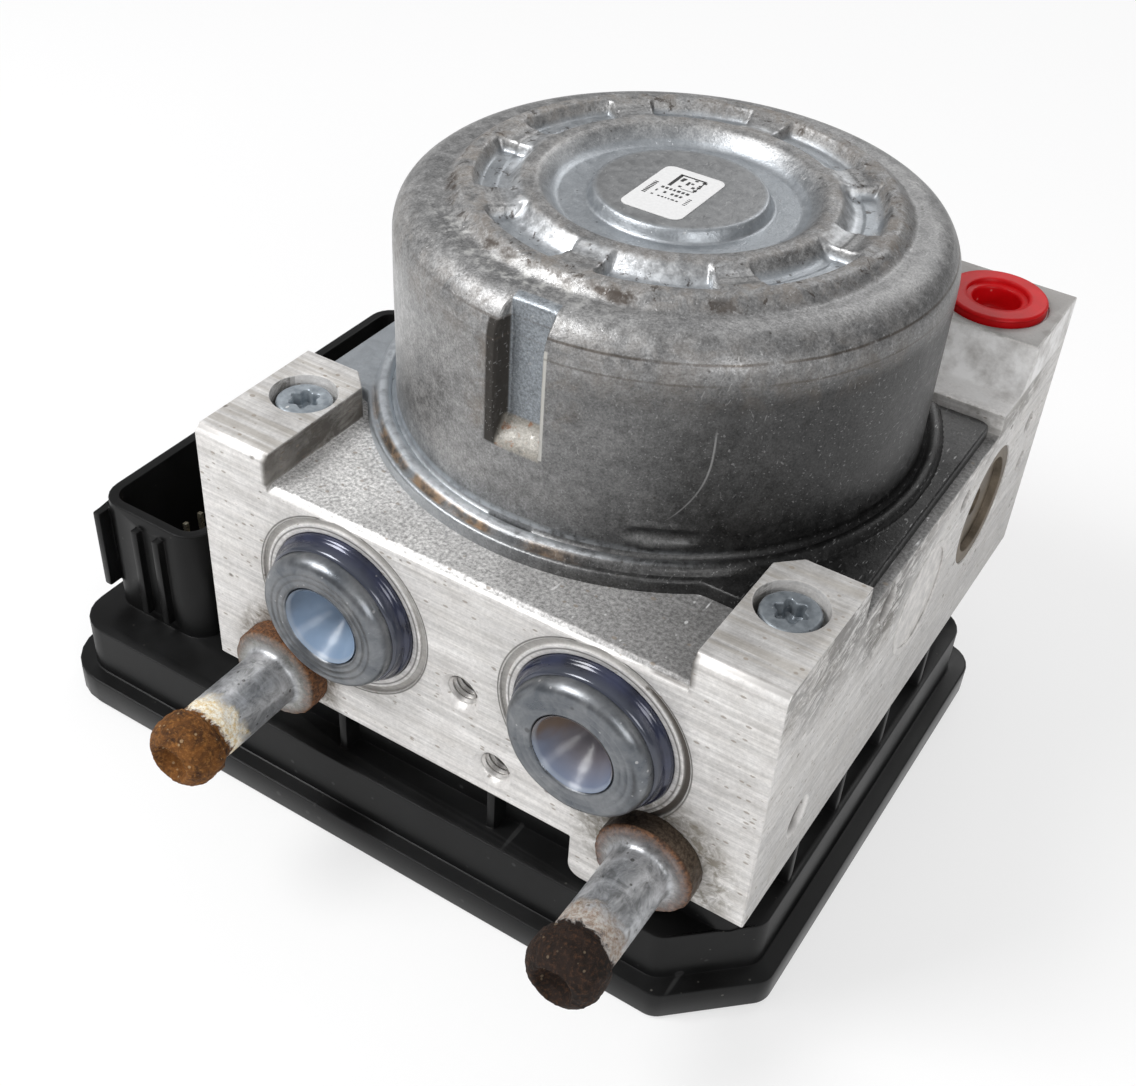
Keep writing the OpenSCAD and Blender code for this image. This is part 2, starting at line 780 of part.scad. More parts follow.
// The magnets end just below the can's inner shoulder, and the core lies a little above their middle
magnet_z = roof_z - (shoulder_r - can_wall) - magnet_h - 0.4;
core_z = magnet_z + (magnet_h - core_h) / 2 + 1;
brush_deck = 0.5;
commutator_z = floor_z + plate_t + brush_deck;
winding_t = 1.9;

module magnet(corner) {
    outer = can_in_r - seat_gap;
    color([0.22, 0.22, 0.23])
        rotate([0, 0, corner - magnet_angle / 2])
            rotate_extrude(angle = magnet_angle)
                translate([outer - magnet_t, magnet_z]) square([magnet_t, magnet_h]);
}

// One bearing ring with shields sunk into both faces
module bearing(size) {
    race = 2;
    sink = 0.5;
    color([0.66, 0.67, 0.68]) difference() {
        tube(size[0], shaft_r + run_gap, size[1]);
        for (face = [-merge, size[1] - sink])
            translate([0, 0, face]) tube(size[0] - race, shaft_r + race, sink + merge);
    }
}

module upper_bearing() {
    translate([0, 0, bearing_top_z - upper_bearing[1]]) bearing(upper_bearing);
}

module lower_bearing() {
    translate([0, 0, floor_z - lower_bearing[1]]) bearing(lower_bearing);
}

module rotor_shaft() {
    end_gap = 0.4;
    low = pump_z - ecc_ring[1] / 2 - 0.6;
    shoulder = floor_z - lower_bearing[1] - end_gap;
    top = bearing_top_z - end_gap;
    color([0.70, 0.71, 0.72]) {
        translate([0, 0, shoulder - merge]) chamfered(shaft_r, top - shoulder + merge, 0.6);
        translate([0, throw, low]) cylinder(r = journal_r, h = shoulder - low);
    }
}

module eccentric_ring() {
    color([0.60, 0.61, 0.63]) translate([0, throw, pump_z - ecc_ring[1] / 2])
        tube(ecc_ring[0], journal_r + run_gap, ecc_ring[1]);
}

// Laminated core: a hub, one web per tooth, and a pole shoe at the end of each web
module armature_core() {
    hub = 13.6;
    shoe_t = 4.6;
    slot_angle = 3.4;
    shoe_half = core_r * 2 * tan((360 / tooth_count - slot_angle) / 2);
    color([0.42, 0.43, 0.45]) translate([0, 0, core_z]) linear_extrude(core_h) difference() {
        union() {
            circle(hub);
            for (i = [0:tooth_count - 1]) rotate([0, 0, (i + 0.5) * 360 / tooth_count]) {
                translate([hub - 1, -tooth_w / 2]) square([core_r - shoe_t / 2 - hub, tooth_w]);
                intersection() {
                    difference() {
                        circle(core_r);
                        circle(core_r - shoe_t);
                    }
                    polygon([[0, 0], [2 * core_r, -shoe_half], [2 * core_r, shoe_half]]);
                }
            }
        }
        circle(shaft_r + seat_gap);
    }
}

// One coil of wire round each armature tooth
module armature_windings() {
    near = 17.8;
    far = core_r - 5.2;
    gap = 0.2;
    side = tooth_w / 2 + gap;
    height = core_h + 2 * gap;
    color([0.72, 0.40, 0.18])
        for (i = [0:tooth_count - 1]) rotate([0, 0, (i + 0.5) * 360 / tooth_count]) difference() {
            translate([near, -side - winding_t, core_z - gap - winding_t])
                cube([far - near, 2 * (side + winding_t), height + 2 * winding_t]);
            translate([near - merge, -side, core_z - gap])
                cube([far - near + 2 * merge, 2 * side, height]);
        }
}

module commutator() {
    slot = [1.2, 0.6];
    ring = 0.8;
    color([0.75, 0.47, 0.28]) translate([0, 0, commutator_z]) difference() {
        tube(commutator_r, shaft_r + seat_gap, commutator_h);
        for (i = [0:tooth_count - 1]) rotate([0, 0, i * 360 / tooth_count])
            translate([commutator_r - slot[0], -slot[1] / 2, ring])
                cube([slot[0] + merge, slot[1], commutator_h]);
    }
}

module brush_plate() {
    outer = can_in_r - 0.1;
    bore = lower_bearing[0] + 1;
    rail = 1.4;
    gap = 0.15;
    long = brush_size[0];
    color([0.16, 0.16, 0.17]) {
        translate([0, 0, floor_z]) linear_extrude(plate_t) difference() {
            circle(outer);
            circle(bore);
        }
        for (side = [-1, 1]) for (edge = [-1, 1])
            translate([side * (bore + 1 + long / 2) - long / 2,
                edge * (brush_size[1] / 2 + gap + rail / 2) - rail / 2, floor_z + plate_t - merge])
                cube([long, rail, brush_size[2] + merge]);
    }
}

module brush(side) {
    start = commutator_r + 0.12;
    reach = lower_bearing[0] + 2 + brush_size[0] - start;
    pocket = 3;
    color([0.12, 0.12, 0.13]) mirror([side < 0 ? 1 : 0, 0, 0])
        translate([start, -brush_size[1] / 2, floor_z + plate_t]) difference() {
            cube([reach, brush_size[1], brush_size[2]]);
            translate([reach - pocket, brush_size[1] / 2, brush_size[2] / 2])
                to_right() cylinder(r = 1.2, h = pocket + merge, $fn = 24);
        }
}

// Pump

// Where a pump piston's tip waits: the ring's outermost reach and a little more
tip_gap = 0.1;
piston_tip = ecc_ring[0] + throw + tip_gap;
piston_stroke = throw + tip_gap;
sleeve_start = chamber_r + merge;
collar_t = 1.5;
collar_r = piston_r + 1.1;
collar_start = piston_tip + piston_l - collar_t;
end_gap = 0.2;
spring_start = piston_tip + piston_l + end_gap;
pump_plug_x = block_w / 2 - pump_plug[1];

// Pump parts are drawn along +Z from the motor axis and point to the right
module pump_line(side) {
    mirror([side < 0 ? 1 : 0, 0, 0]) translate([0, 0, pump_z]) to_right() children();
}

module pump_piston(side) {
    nose = 0.8;
    color([0.74, 0.75, 0.77]) pump_line(side) {
        translate([0, 0, piston_tip + nose]) cylinder(r = piston_r, h = piston_l - nose);
        translate([0, 0, piston_tip]) cylinder(r1 = piston_r - nose, r2 = piston_r, h = nose);
        translate([0, 0, collar_start]) cylinder(r = collar_r, h = collar_t);
    }
}

module pump_sleeve(side) {
    spring_bore = collar_r + 0.5;
    groove = [0.8, 4];
    step = collar_start - piston_stroke - end_gap;
    length = pump_plug_x - sleeve_start - 0.05;
    color([0.62, 0.62, 0.60]) pump_line(side) difference() {
        translate([0, 0, sleeve_start]) cylinder(r = sleeve_r, h = length);
        translate([0, 0, sleeve_start - merge]) cylinder(r = piston_r + run_gap, h = step);
        translate([0, 0, step]) cylinder(r = spring_bore, h = pump_plug_x - step);
        translate([0, 0, (step + pump_plug_x) / 2])
            tube(sleeve_r + merge, sleeve_r - groove[0], groove[1]);
    }
}

module pump_spring(side) {
    wire = 0.5;
    length = pump_plug_x - spring_start - end_gap;
    color([0.60, 0.61, 0.62]) pump_line(side) translate([0, 0, spring_start])
        coil_spring(collar_r - wire - 0.1, wire, length, 6, 12, 6);
}

// Reservoirs: drawn along +Z out of the front face, which is z = 0

band_out = 1.0;
floor_gap = 0.3;
cap_inner_z = -seat_depth + floor_gap;
cup_start = -seat_depth - cylinder_l + floor_gap;
// Step behind the cap's groove for its band, and the gap between funnel and cap
band_step = 1.2;
lip_bevel = 0.6;
funnel_gap = 0.05;

module reservoir_cap(side) {
    back = seat_r - band_t;
    color([0.50, 0.52, 0.54]) reservoir_axis(side) rotate_extrude() polygon(concat(
        [[funnel_r + 1, cap_inner_z], [back, cap_inner_z], [back, -band_step], [cap_r - 0.5, 0.2],
            [cap_r, 1.6], [cap_r, cap_proud - cap_rim_r]],
        arc(cap_r - cap_rim_r, cap_proud - cap_rim_r, cap_rim_r, 0, 90, 8),
        [[funnel_r, cap_proud], [funnel_r + lip_bevel, cap_proud - lip_bevel]]
    ));
}

// Dark ring that seals the cap in its seat
module reservoir_band(side) {
    inner = seat_r - band_t + seat_gap;
    outer = seat_r - seat_gap;
    edge = 0.9;
    color([0.10, 0.10, 0.16]) reservoir_axis(side) rotate_extrude() polygon(concat(
        [[inner, cap_inner_z], [outer, cap_inner_z]],
        arc(outer - edge, band_out - edge, edge, 0, 90, 5),
        [[inner + 0.25, band_out - 0.1], [inner, seat_gap - band_step]]
    ));
}

// Translucent funnel in the mouth of the cap
module vent_funnel(side) {
    wall = 0.9;
    throat_r = 1.1;
    length = 8.5;
    low = cap_proud - length;
    lip = [0.2, 0.5];
    outer = funnel_r + lip_bevel - funnel_gap;
    color([0.62, 0.70, 0.82]) reservoir_axis(side) rotate_extrude() polygon([
        [funnel_r - funnel_gap, cap_proud - lip[0]], [funnel_r - wall, cap_proud - lip[1]],
        [throat_r, low + lip[1]], [throat_r, low], [outer, low],
        [outer, cap_proud - lip_bevel - 3 * funnel_gap]
    ]);
}

// Groove of a reservoir piston for its seal: depth and width
seal_groove = [1.5, 2];

module reservoir_piston(side) {
    wall = 2;
    head = 3;
    outer = cylinder_r - run_gap;
    color([0.58, 0.58, 0.56]) reservoir_axis(side) translate([0, 0, cup_start]) difference() {
        cylinder(r = outer, h = cup_l);
        translate([0, 0, head]) cylinder(r = outer - wall - 0.6, h = cup_l);
        translate([0, 0, (cup_l - seal_groove[1]) / 2])
            tube(cylinder_r + merge, cylinder_r - seal_groove[0], seal_groove[1]);
    }
}

module piston_seal(side) {
    width = seal_groove[1] - 0.2;
    color([0.08, 0.08, 0.08]) reservoir_axis(side)
        translate([0, 0, cup_start + (cup_l - width) / 2])
            tube(cylinder_r - run_gap / 2, cylinder_r - seal_groove[0] + seat_gap, width);
}

module reservoir_spring(side) {
    wire = 0.9;
    low = cup_start + 3.1;
    length = cap_inner_z - low - end_gap;
    color([0.60, 0.61, 0.62]) reservoir_axis(side) translate([0, 0, low])
        coil_spring(funnel_r + 1.9, wire, length, 5, 16, 6);
}

// Fasteners and plugs

module mounting_stud(side) {
    tip = stud_out;
    head_r = stud_head[0];
    head_z = tip - stud_head[1];
    flange_top = stud_flange[1];
    bevel = 0.8;
    fillet = 1.2;
    dome = 3.4;
    socket = [2.9, 2.6];
    color([0.50, 0.42, 0.34]) stud_axis(side) difference() {
        union() {
            rotate_extrude() polygon(concat(
                [[0, 0], [stud_flange[0], 0], [stud_flange[0], flange_top - bevel],
                    [stud_flange[0] - bevel, flange_top], [stud_r + fillet, flange_top]],
                arc(stud_r + fillet, flange_top + fillet, fillet, 270, 180, 4),
                [[stud_r, head_z], [head_r, head_z + 0.4], [head_r, head_z + 2.2]],
                arc(head_r - dome, tip - dome, dome, 20, 90, 8),
                [[0, tip]]
            ));
            translate([0, 0, -stud_thread_l]) cylinder(r = stud_thread_r, h = stud_thread_l + merge);
        }
        translate([0, 0, tip - socket[1]]) drive_socket(socket[0], socket[1] + merge);
    }
}

module unit_screw(side) {
    top = pad_z - head_drop;
    under = top - screw_head[1];
    socket = [2.5, 2.6];
    color([0.46, 0.49, 0.52]) screw_place(side) difference() {
        union() {
            translate([0, 0, under]) chamfered(screw_head[0], screw_head[1], 0.4);
            translate([0, 0, under - screw_l]) cylinder(r = screw_r, h = screw_l + merge);
        }
        translate([0, 0, top - socket[1]]) drive_socket(socket[0], socket[1] + merge);
    }
}

// Transport plug drawn with the port's mouth at z = 0
module port_plug() {
    flange_r = port_plug_flange[0];
    foot = -port_face[1];
    top = foot + port_plug_flange[1];
    body_gap = 0.1;
    body_r = port_bore[0] - body_gap;
    stem = 9.5;
    end = foot - stem;
    tip = 1;
    tip_depth = 2.5;
    round_r = 0.7;
    mouth = [1, 1.2];
    hollow = port_plug_hollow_r;
    web = [3, 4.6];
    small = hollow - (web[1] - web[0]);
    color([0.80, 0.05, 0.07]) rotate_extrude() polygon(concat(
        [[0, foot - web[1]], [small, foot - web[1]], [small, end + tip_depth], [body_r - tip, end],
            [body_r, end + tip], [body_r, foot], [flange_r, foot], [flange_r, top - round_r]],
        arc(flange_r - round_r, top - round_r, round_r, 0, 90, 4),
        [[hollow + mouth[0], top], [hollow, top - mouth[1]], [hollow, foot - web[0]],
            [0, foot - web[0]]]
    ));
}

// Solenoid valves

module valve_group(row) {
    flange_h = 1.4;
    lead_in = 1;
    end_room = 0.1;
    waist_r = valve_body[0] - lead_in;
    color([0.60, 0.58, 0.50]) valve_places(row) {
        cylinder(r = valve_body[0], h = valve_body[1] - lead_in);
        translate([0, 0, valve_body[1] - lead_in])
            cylinder(r1 = valve_body[0], r2 = waist_r, h = lead_in - end_room);
        translate([0, 0, -flange_h]) cylinder(r = waist_r, h = flange_h + merge);
        translate([0, 0, 1 - coil_h]) cylinder(r = dome_r, h = coil_h);
    }
}

coil_z = base_z - 1.6 - coil_h;
shelf_t = 2;

module coil_group(row) {
    rim = 2;
    waist = 1.2;
    color([0.30, 0.31, 0.33]) valve_places(row) translate([0, 0, coil_z - base_z]) difference() {
        tube(coil_r, dome_r + dome_gap, coil_h);
        translate([0, 0, rim]) tube(coil_r + merge, coil_r - waist, coil_h - 2 * rim);
    }
}

lead_size = 1;
// Places of the two leads of a coil: half their spacing, and their distance from the valve axis
lead_half = 3;
lead_out = 5;
dome_gap = 0.3;
lead_gap = 0.2;

module lead_places() {
    for (row = [-1, 1]) valve_places(row) for (end = [-1, 1])
        translate([end * lead_half, row * lead_out, 0]) children();
}

module coil_leads() {
    board_top = board_z + board_t;
    color([0.75, 0.68, 0.45]) lead_places()
        translate([-lead_size / 2, -lead_size / 2, board_top - base_z])
            cube([lead_size, lead_size, coil_z - board_top]);
}

// Control unit

board_z = lid_t + 1.4;
shelf_z = coil_z - shelf_t;
neck_x = block_w / 2 - neck_inset[0];
neck_y = front_y + neck_inset[1];
neck_top = base_z - gasket_t;
neck_corner_r = 4;
// The lid stands proud of the housing, in a recess with a gap round it
lid_proud = 0.4;
lid_recess = 0.6;
lid_gap = 0.1;
shroud_x1 = -block_w / 2 - shroud_gap;
shroud_x0 = shroud_x1 - shroud_size[0];
shroud_y0 = -reach_front + shroud_setback;
shroud_y1 = shroud_y0 + shroud_size[1];
shroud_floor = deck_h + 1.6;

// Corner radii at the cut-off corner and at the right rear
cut_r = 4;
rear_r = 6;

// Outline of the control unit, drawn in by a given distance
function unit_outline(inset) = let (
        left = -reach_left + inset,
        right = reach_right - inset,
        front = -reach_front + inset,
        rear = reach_rear - inset,
        cut = corner_cut - [inset, inset] * 0.4,
        r = max(unit_corner_r - inset, 2)
    )
    rounded(
        [[left, front], [right - cut[0], front], [right, front + cut[1]], [right, rear], [left, rear]],
        [r, cut_r, cut_r, rear_r, r]
    );

module unit_slab(inset, z0, z1) {
    translate([0, 0, z0]) linear_extrude(z1 - z0) polygon(unit_outline(inset));
}

// Ribs that stand out from the neck below the block
module neck_ribs() {
    reach = neck_inset[1] - 1.4;
    side_reach = neck_inset[0] - 0.3;
    side_start = 14.2;
    side_pitch = 18;
    h = neck_top - deck_h + merge;
    for (x = [-26, 4])
        translate([x, neck_y - reach, deck_h - merge]) cube([neck_rib_t, reach + merge, h]);
    for (y = [neck_y + side_start:side_pitch:neck_rear - side_start])
        translate([neck_x - merge, y, deck_h - merge]) cube([side_reach + merge, neck_rib_t, h]);
}

// Upright ribs on the front end of the shroud: distance from its left side, and height
module shroud_ribs() {
    out = 1.5;
    top = shroud_h - 2.4;
    ribs = [[0.2, 16.6], [9.2, 19], [14.2, 19]];
    for (rib = ribs)
        translate([shroud_x0 + rib[0], shroud_y0 - out, top - rib[1]])
            cube([neck_rib_t, out + shroud_corner_r, rib[1]]);
}

module unit_housing() {
    inner = unit_step + unit_wall;
    post_r = 5.4;
    shelf_y = [neck_y, neck_rear];
    lead_hole = lead_size + 2 * lead_gap;
    screw_low = shelf_z + 1;
    color([0.07, 0.07, 0.08]) difference() {
        union() {
            unit_slab(0, lid_proud, unit_flange_h);
            unit_slab(unit_step, unit_flange_h - merge, deck_h);
            rounded_box(-neck_x, neck_y, neck_x, neck_rear, neck_corner_r, deck_h - merge, neck_top);
            neck_ribs();
            rounded_box(shroud_x0, shroud_y0, shroud_x1, shroud_y1, shroud_corner_r,
                deck_h - merge, shroud_h);
            shroud_ribs();
        }
        unit_slab(unit_wall + lid_recess, 0, lid_t);
        difference() {
            unit_slab(inner, lid_t - merge, deck_h - unit_wall);
            translate([-neck_x - merge, shelf_y[0], shelf_z])
                cube([2 * (neck_x + merge), shelf_y[1] - shelf_y[0], deck_h]);
        }
        difference() {
            rounded_box(-neck_x + unit_wall, neck_y + unit_wall, neck_x - unit_wall,
                neck_rear - unit_wall, neck_corner_r / 2, shelf_z + shelf_t, base_z);
            for (side = [-1, 1]) screw_place(side) cylinder(r = post_r, h = base_z);
        }
        for (side = [-1, 1]) screw_place(side)
            translate([0, 0, screw_low]) cylinder(r = screw_r + seat_gap, h = base_z - screw_low);
        lead_places() translate([-lead_hole / 2, -lead_hole / 2, shelf_z - base_z - merge])
            cube([lead_hole, lead_hole, shelf_t + 2 * merge]);
        rounded_box(shroud_x0 + shroud_wall, shroud_y0 + shroud_wall, shroud_x1 - shroud_wall,
            shroud_y1 - shroud_wall, shroud_corner_r - shroud_wall, shroud_floor, shroud_h + merge);
        tab_notch();
    }
}

// Notch that clears the block's tab, with a gap all round it
module tab_notch() {
    gap = 0.3;
    translate([stud_pitch / 2 - tab_w - gap, front_y - gap, base_z - tab_h - gap])
        cube([tab_w + 2 * gap, tab_t + 2 * gap, tab_h + 2 * gap]);
}

module unit_lid() {
    color([0.10, 0.10, 0.11])
        unit_slab(unit_wall + lid_recess + lid_gap, 0, lid_t - lid_gap / 2);
}

module unit_gasket() {
    inset = 0.4;
    width = 1.6;
    hole = inset + width;
    color([0.14, 0.14, 0.15]) difference() {
        rounded_box(-neck_x + inset, neck_y + inset, neck_x - inset, neck_rear - inset,
            neck_corner_r - inset, neck_top, base_z);
        rounded_box(-neck_x + hole, neck_y + hole, neck_x - hole, neck_rear - hole,
            neck_corner_r - hole, neck_top - merge, base_z + merge);
    }
}

module circuit_board() {
    edge_gap = 0.2;
    color([0.05, 0.30, 0.16])
        unit_slab(unit_step + unit_wall + edge_gap, board_z, board_z + board_t);
}

module board_chips() {
    z = board_z + board_t;
    room = shelf_z - z - 0.4;
    chips = [[-20, -44, 14, 14], [14, -42, 10, 8], [-6, 26, 12, 6]];
    capacitor = [4, 5.5];
    capacitor_pitch = 16;
    capacitor_x = -neck_x - capacitor[0] - 4.6;
    color([0.12, 0.12, 0.13]) {
        for (chip = chips) translate([chip[0], chip[1], z]) cube([chip[2], chip[3], room]);
        for (i = [0:2]) translate([capacitor_x, neck_y + 20 + i * capacitor_pitch, z])
            cylinder(r = capacitor[0], h = capacitor[1], $fn = 32);
    }
}

// Two columns of signal pins, and a wide blade at the rear end of each column
pin_size = 0.8;
blade_size = [0.9, 6];
column_half = 4;

module connector_pins() {
    z = board_z + board_t;
    height = shroud_floor + pin_h - z;
    mid_x = (shroud_x0 + shroud_x1) / 2;
    first = shroud_y0 + 13;
    blade_y = first + pin_count * pin_pitch + 2;
    color([0.75, 0.70, 0.55]) for (column = [-1, 1]) {
        x = mid_x + column * column_half;
        for (i = [0:pin_count - 1])
            translate([x - pin_size / 2, first + i * pin_pitch - pin_size / 2, z])
                cube([pin_size, pin_size, height]);
        translate([x - blade_size[0] / 2, blade_y, z]) cube([blade_size[0], blade_size[1], height]);
    }
}

valve_block();
motor_can();
motor_label();
magnet(225);  // magnet_front_left
magnet(315);  // magnet_front_right
magnet(135);  // magnet_rear_left
magnet(45);  // magnet_rear_right
upper_bearing();
lower_bearing();
rotor_shaft();
armature_core();
armature_windings();
commutator();
eccentric_ring();
brush_plate();
brush(-1);  // brush_left
brush(1);  // brush_right
pump_piston(-1);  // pump_piston_left
pump_piston(1);  // pump_piston_right
pump_sleeve(-1);  // pump_sleeve_left
pump_sleeve(1);  // pump_sleeve_right
pump_spring(-1);  // pump_spring_left
pump_spring(1);  // pump_spring_right
pump_plug(-1);  // pump_plug_left
pump_plug(1);  // pump_plug_right
damper_plug(-1);  // damper_plug_left
damper_plug(1);  // damper_plug_right
reservoir_cap(-1);  // reservoir_cap_left
reservoir_cap(1);  // reservoir_cap_right
reservoir_band(-1);  // reservoir_band_left
reservoir_band(1);  // reservoir_band_right
vent_funnel(-1);  // vent_funnel_left
vent_funnel(1);  // vent_funnel_right
reservoir_piston(-1);  // reservoir_piston_left
reservoir_piston(1);  // reservoir_piston_right
piston_seal(-1);  // piston_seal_left
piston_seal(1);  // piston_seal_right
reservoir_spring(-1);  // reservoir_spring_left
reservoir_spring(1);  // reservoir_spring_right
mounting_stud(-1);  // mounting_stud_left
mounting_stud(1);  // mounting_stud_right
unit_screw(-1);  // unit_screw_left
unit_screw(1);  // unit_screw_right
top_port(-1) port_plug();  // port_plug_top_left
top_port(1) port_plug();  // port_plug_top_right
for (i = [0:rear_port_count - 1]) rear_port(i) port_plug();  // port_plugs_rear
gallery_balls();
valve_group(-1);  // inlet_valves
valve_group(1);  // outlet_valves
coil_group(-1);  // inlet_coils
coil_group(1);  // outlet_coils
coil_leads();
unit_housing();
unit_lid();
unit_gasket();
circuit_board();
board_chips();
connector_pins();
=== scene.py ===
"""Looks of an anti-lock brake module: motor can, valve block, caps, studs, screws, control unit.

Lengths are in millimetres in the row frame, and become metres where a mesh is made.
"""

import json
import math

import bmesh
import bpy
import numpy as np
from mathutils import Matrix, Vector, noise


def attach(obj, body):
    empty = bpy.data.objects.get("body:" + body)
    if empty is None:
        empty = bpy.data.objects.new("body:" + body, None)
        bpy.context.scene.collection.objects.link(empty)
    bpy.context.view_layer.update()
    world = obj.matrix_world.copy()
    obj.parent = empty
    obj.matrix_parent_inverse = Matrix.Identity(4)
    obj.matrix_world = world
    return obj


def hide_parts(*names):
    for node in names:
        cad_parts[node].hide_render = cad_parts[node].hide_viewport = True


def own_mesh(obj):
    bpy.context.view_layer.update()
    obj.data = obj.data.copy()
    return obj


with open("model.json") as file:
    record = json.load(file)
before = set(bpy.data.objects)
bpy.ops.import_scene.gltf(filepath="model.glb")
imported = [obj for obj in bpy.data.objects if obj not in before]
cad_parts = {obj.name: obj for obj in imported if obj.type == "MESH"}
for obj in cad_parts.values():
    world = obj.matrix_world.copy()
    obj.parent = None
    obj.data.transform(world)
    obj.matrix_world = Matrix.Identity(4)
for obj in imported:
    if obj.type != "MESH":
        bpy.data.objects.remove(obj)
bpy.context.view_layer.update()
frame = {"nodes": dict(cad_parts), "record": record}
NODES = frame["nodes"]
MM = 0.001

# Camera

CAMERA_PLACE = (91.883, -185.973, 205.785)
CAMERA_RIGHT = (0.84273, 0.53567, 0.05353)
CAMERA_DOWN = (0.37522, -0.51317, -0.77192)
CAMERA_AHEAD = (-0.38602, 0.67061, -0.63346)
CAMERA_LENS = 47.64


def make_camera():
    """The photo's view, solved from the block's corners."""
    data = bpy.data.cameras.new("camera")
    data.sensor_fit = "HORIZONTAL"
    data.sensor_width = 36
    data.lens = CAMERA_LENS
    data.clip_start = 0.01
    camera = bpy.data.objects.new("camera", data)
    bpy.context.scene.collection.objects.link(camera)
    axes = (CAMERA_RIGHT, [-c for c in CAMERA_DOWN], [-c for c in CAMERA_AHEAD])
    turn = Matrix([Vector(a).normalized() for a in axes]).transposed().to_4x4()
    camera.matrix_world = Matrix.Translation(Vector(CAMERA_PLACE) * MM) @ turn
    bpy.context.scene.camera = camera


make_camera()

# Sizes shared with the solids

FLOOR_Z = 67.2
FRONT_Y = -55.0
BLOCK_X = 50.0
CAN_R = 42.8
FLANGE_Z = 69.4
RIM_Z = 104.9
CREST_Z = 106.8
HUB_Z = 105.9
DISH_Z = 104.0
SHOULDER_R = 6.2
CAP_X = 22.5
CAP_Z = 50.3
STUD_X = 34.6
STUD_Z = 32.1
STUD_OUT = 27.6
SCREW_X = 42.4
SCREW_Y = -38.5
BRACKET_HOLES = [(-0.5, 44.4), (5.8, 31.5)]
SIDE_THREAD = (-39.8, 36.0)
SIDE_THREAD_DEPTH = 4.2

# Node materials

# The looks' colours are given for a brighter light; this brings them up for the lamps used here
COLOUR_GAIN = 1.15


class Nodes:
    """A node tree that is built up from small helpers."""

    def __init__(self, tree):
        self.tree = tree
        tree.nodes.clear()

    def add(self, kind, **settings):
        node = self.tree.nodes.new(kind)
        for key, value in settings.items():
            setattr(node, key, value)
        return node

    def put(self, socket, value):
        """Links a value to a socket, or sets a plain one."""
        if isinstance(value, Value):
            self.tree.links.new(value.socket, socket)
        else:
            socket.default_value = value

    def made(self, kind, inputs, output=0, **settings):
        """Adds a node, fills its inputs and gives one of its outputs."""
        node = self.add(kind, **settings)
        for key, value in inputs.items():
            self.put(node.inputs[key], value)
        return Value(self, node.outputs[output])

    def math(self, operation, a, b=0.0):
        return self.made("ShaderNodeMath", {0: a, 1: b, 2: 0.0}, operation=operation)

    def vector(self, operation, a, b, output="Vector"):
        return self.made("ShaderNodeVectorMath", {0: a, 1: b}, output, operation=operation)

    def length(self, vector):
        return self.made("ShaderNodeVectorMath", {0: vector}, "Value", operation="LENGTH")

    def xyz(self, vector):
        parts = self.add("ShaderNodeSeparateXYZ")
        self.put(parts.inputs[0], vector)
        return [Value(self, part) for part in parts.outputs]


class Value:
    """An output of a node. Arithmetic on it adds nodes, and `|` takes the larger of two."""

    def __init__(self, nodes, socket):
        self.nodes, self.socket = nodes, socket

    def __mul__(self, other):
        return self.nodes.math("MULTIPLY", self, other)

    def __add__(self, other):
        return self.nodes.math("ADD", self, other)

    def __sub__(self, other):
        return self.nodes.math("SUBTRACT", self, other)

    def __rsub__(self, other):
        return self.nodes.math("SUBTRACT", other, self)

    def __pow__(self, other):
        return self.nodes.math("POWER", self, other)

    def __or__(self, other):
        return self.nodes.math("MAXIMUM", self, other)

    def __abs__(self):
        return self.nodes.math("ABSOLUTE", self)

    def span(self, low, high, to_low=0.0, to_high=1.0, smooth=False):
        """Maps low..high to to_low..to_high, clamped."""
        inputs = {"Value": self, "From Min": low, "From Max": high, "To Min": to_low, "To Max": to_high}
        return self.nodes.made("ShaderNodeMapRange", inputs, clamp=True,
                               interpolation_type="SMOOTHSTEP" if smooth else "LINEAR")

    def within(self, start, full, fade, end):
        """0 up to start, 1 from full to fade, 0 beyond end."""
        return self.span(start, full) * self.span(end, fade)

    def blend(self, a, b):
        """The number a where this is 0, b where it is 1."""
        return self.nodes.made("ShaderNodeMix", {0: self, 2: a, 3: b}, data_type="FLOAT", clamp_factor=True)

    def mix(self, a, b):
        """The colour a where this is 0, b where it is 1."""
        a, b = (c if isinstance(c, Value) else (*c, 1) for c in (a, b))
        return self.nodes.made("ShaderNodeMix", {0: self, 6: a, 7: b}, 2, data_type="RGBA", clamp_factor=True)


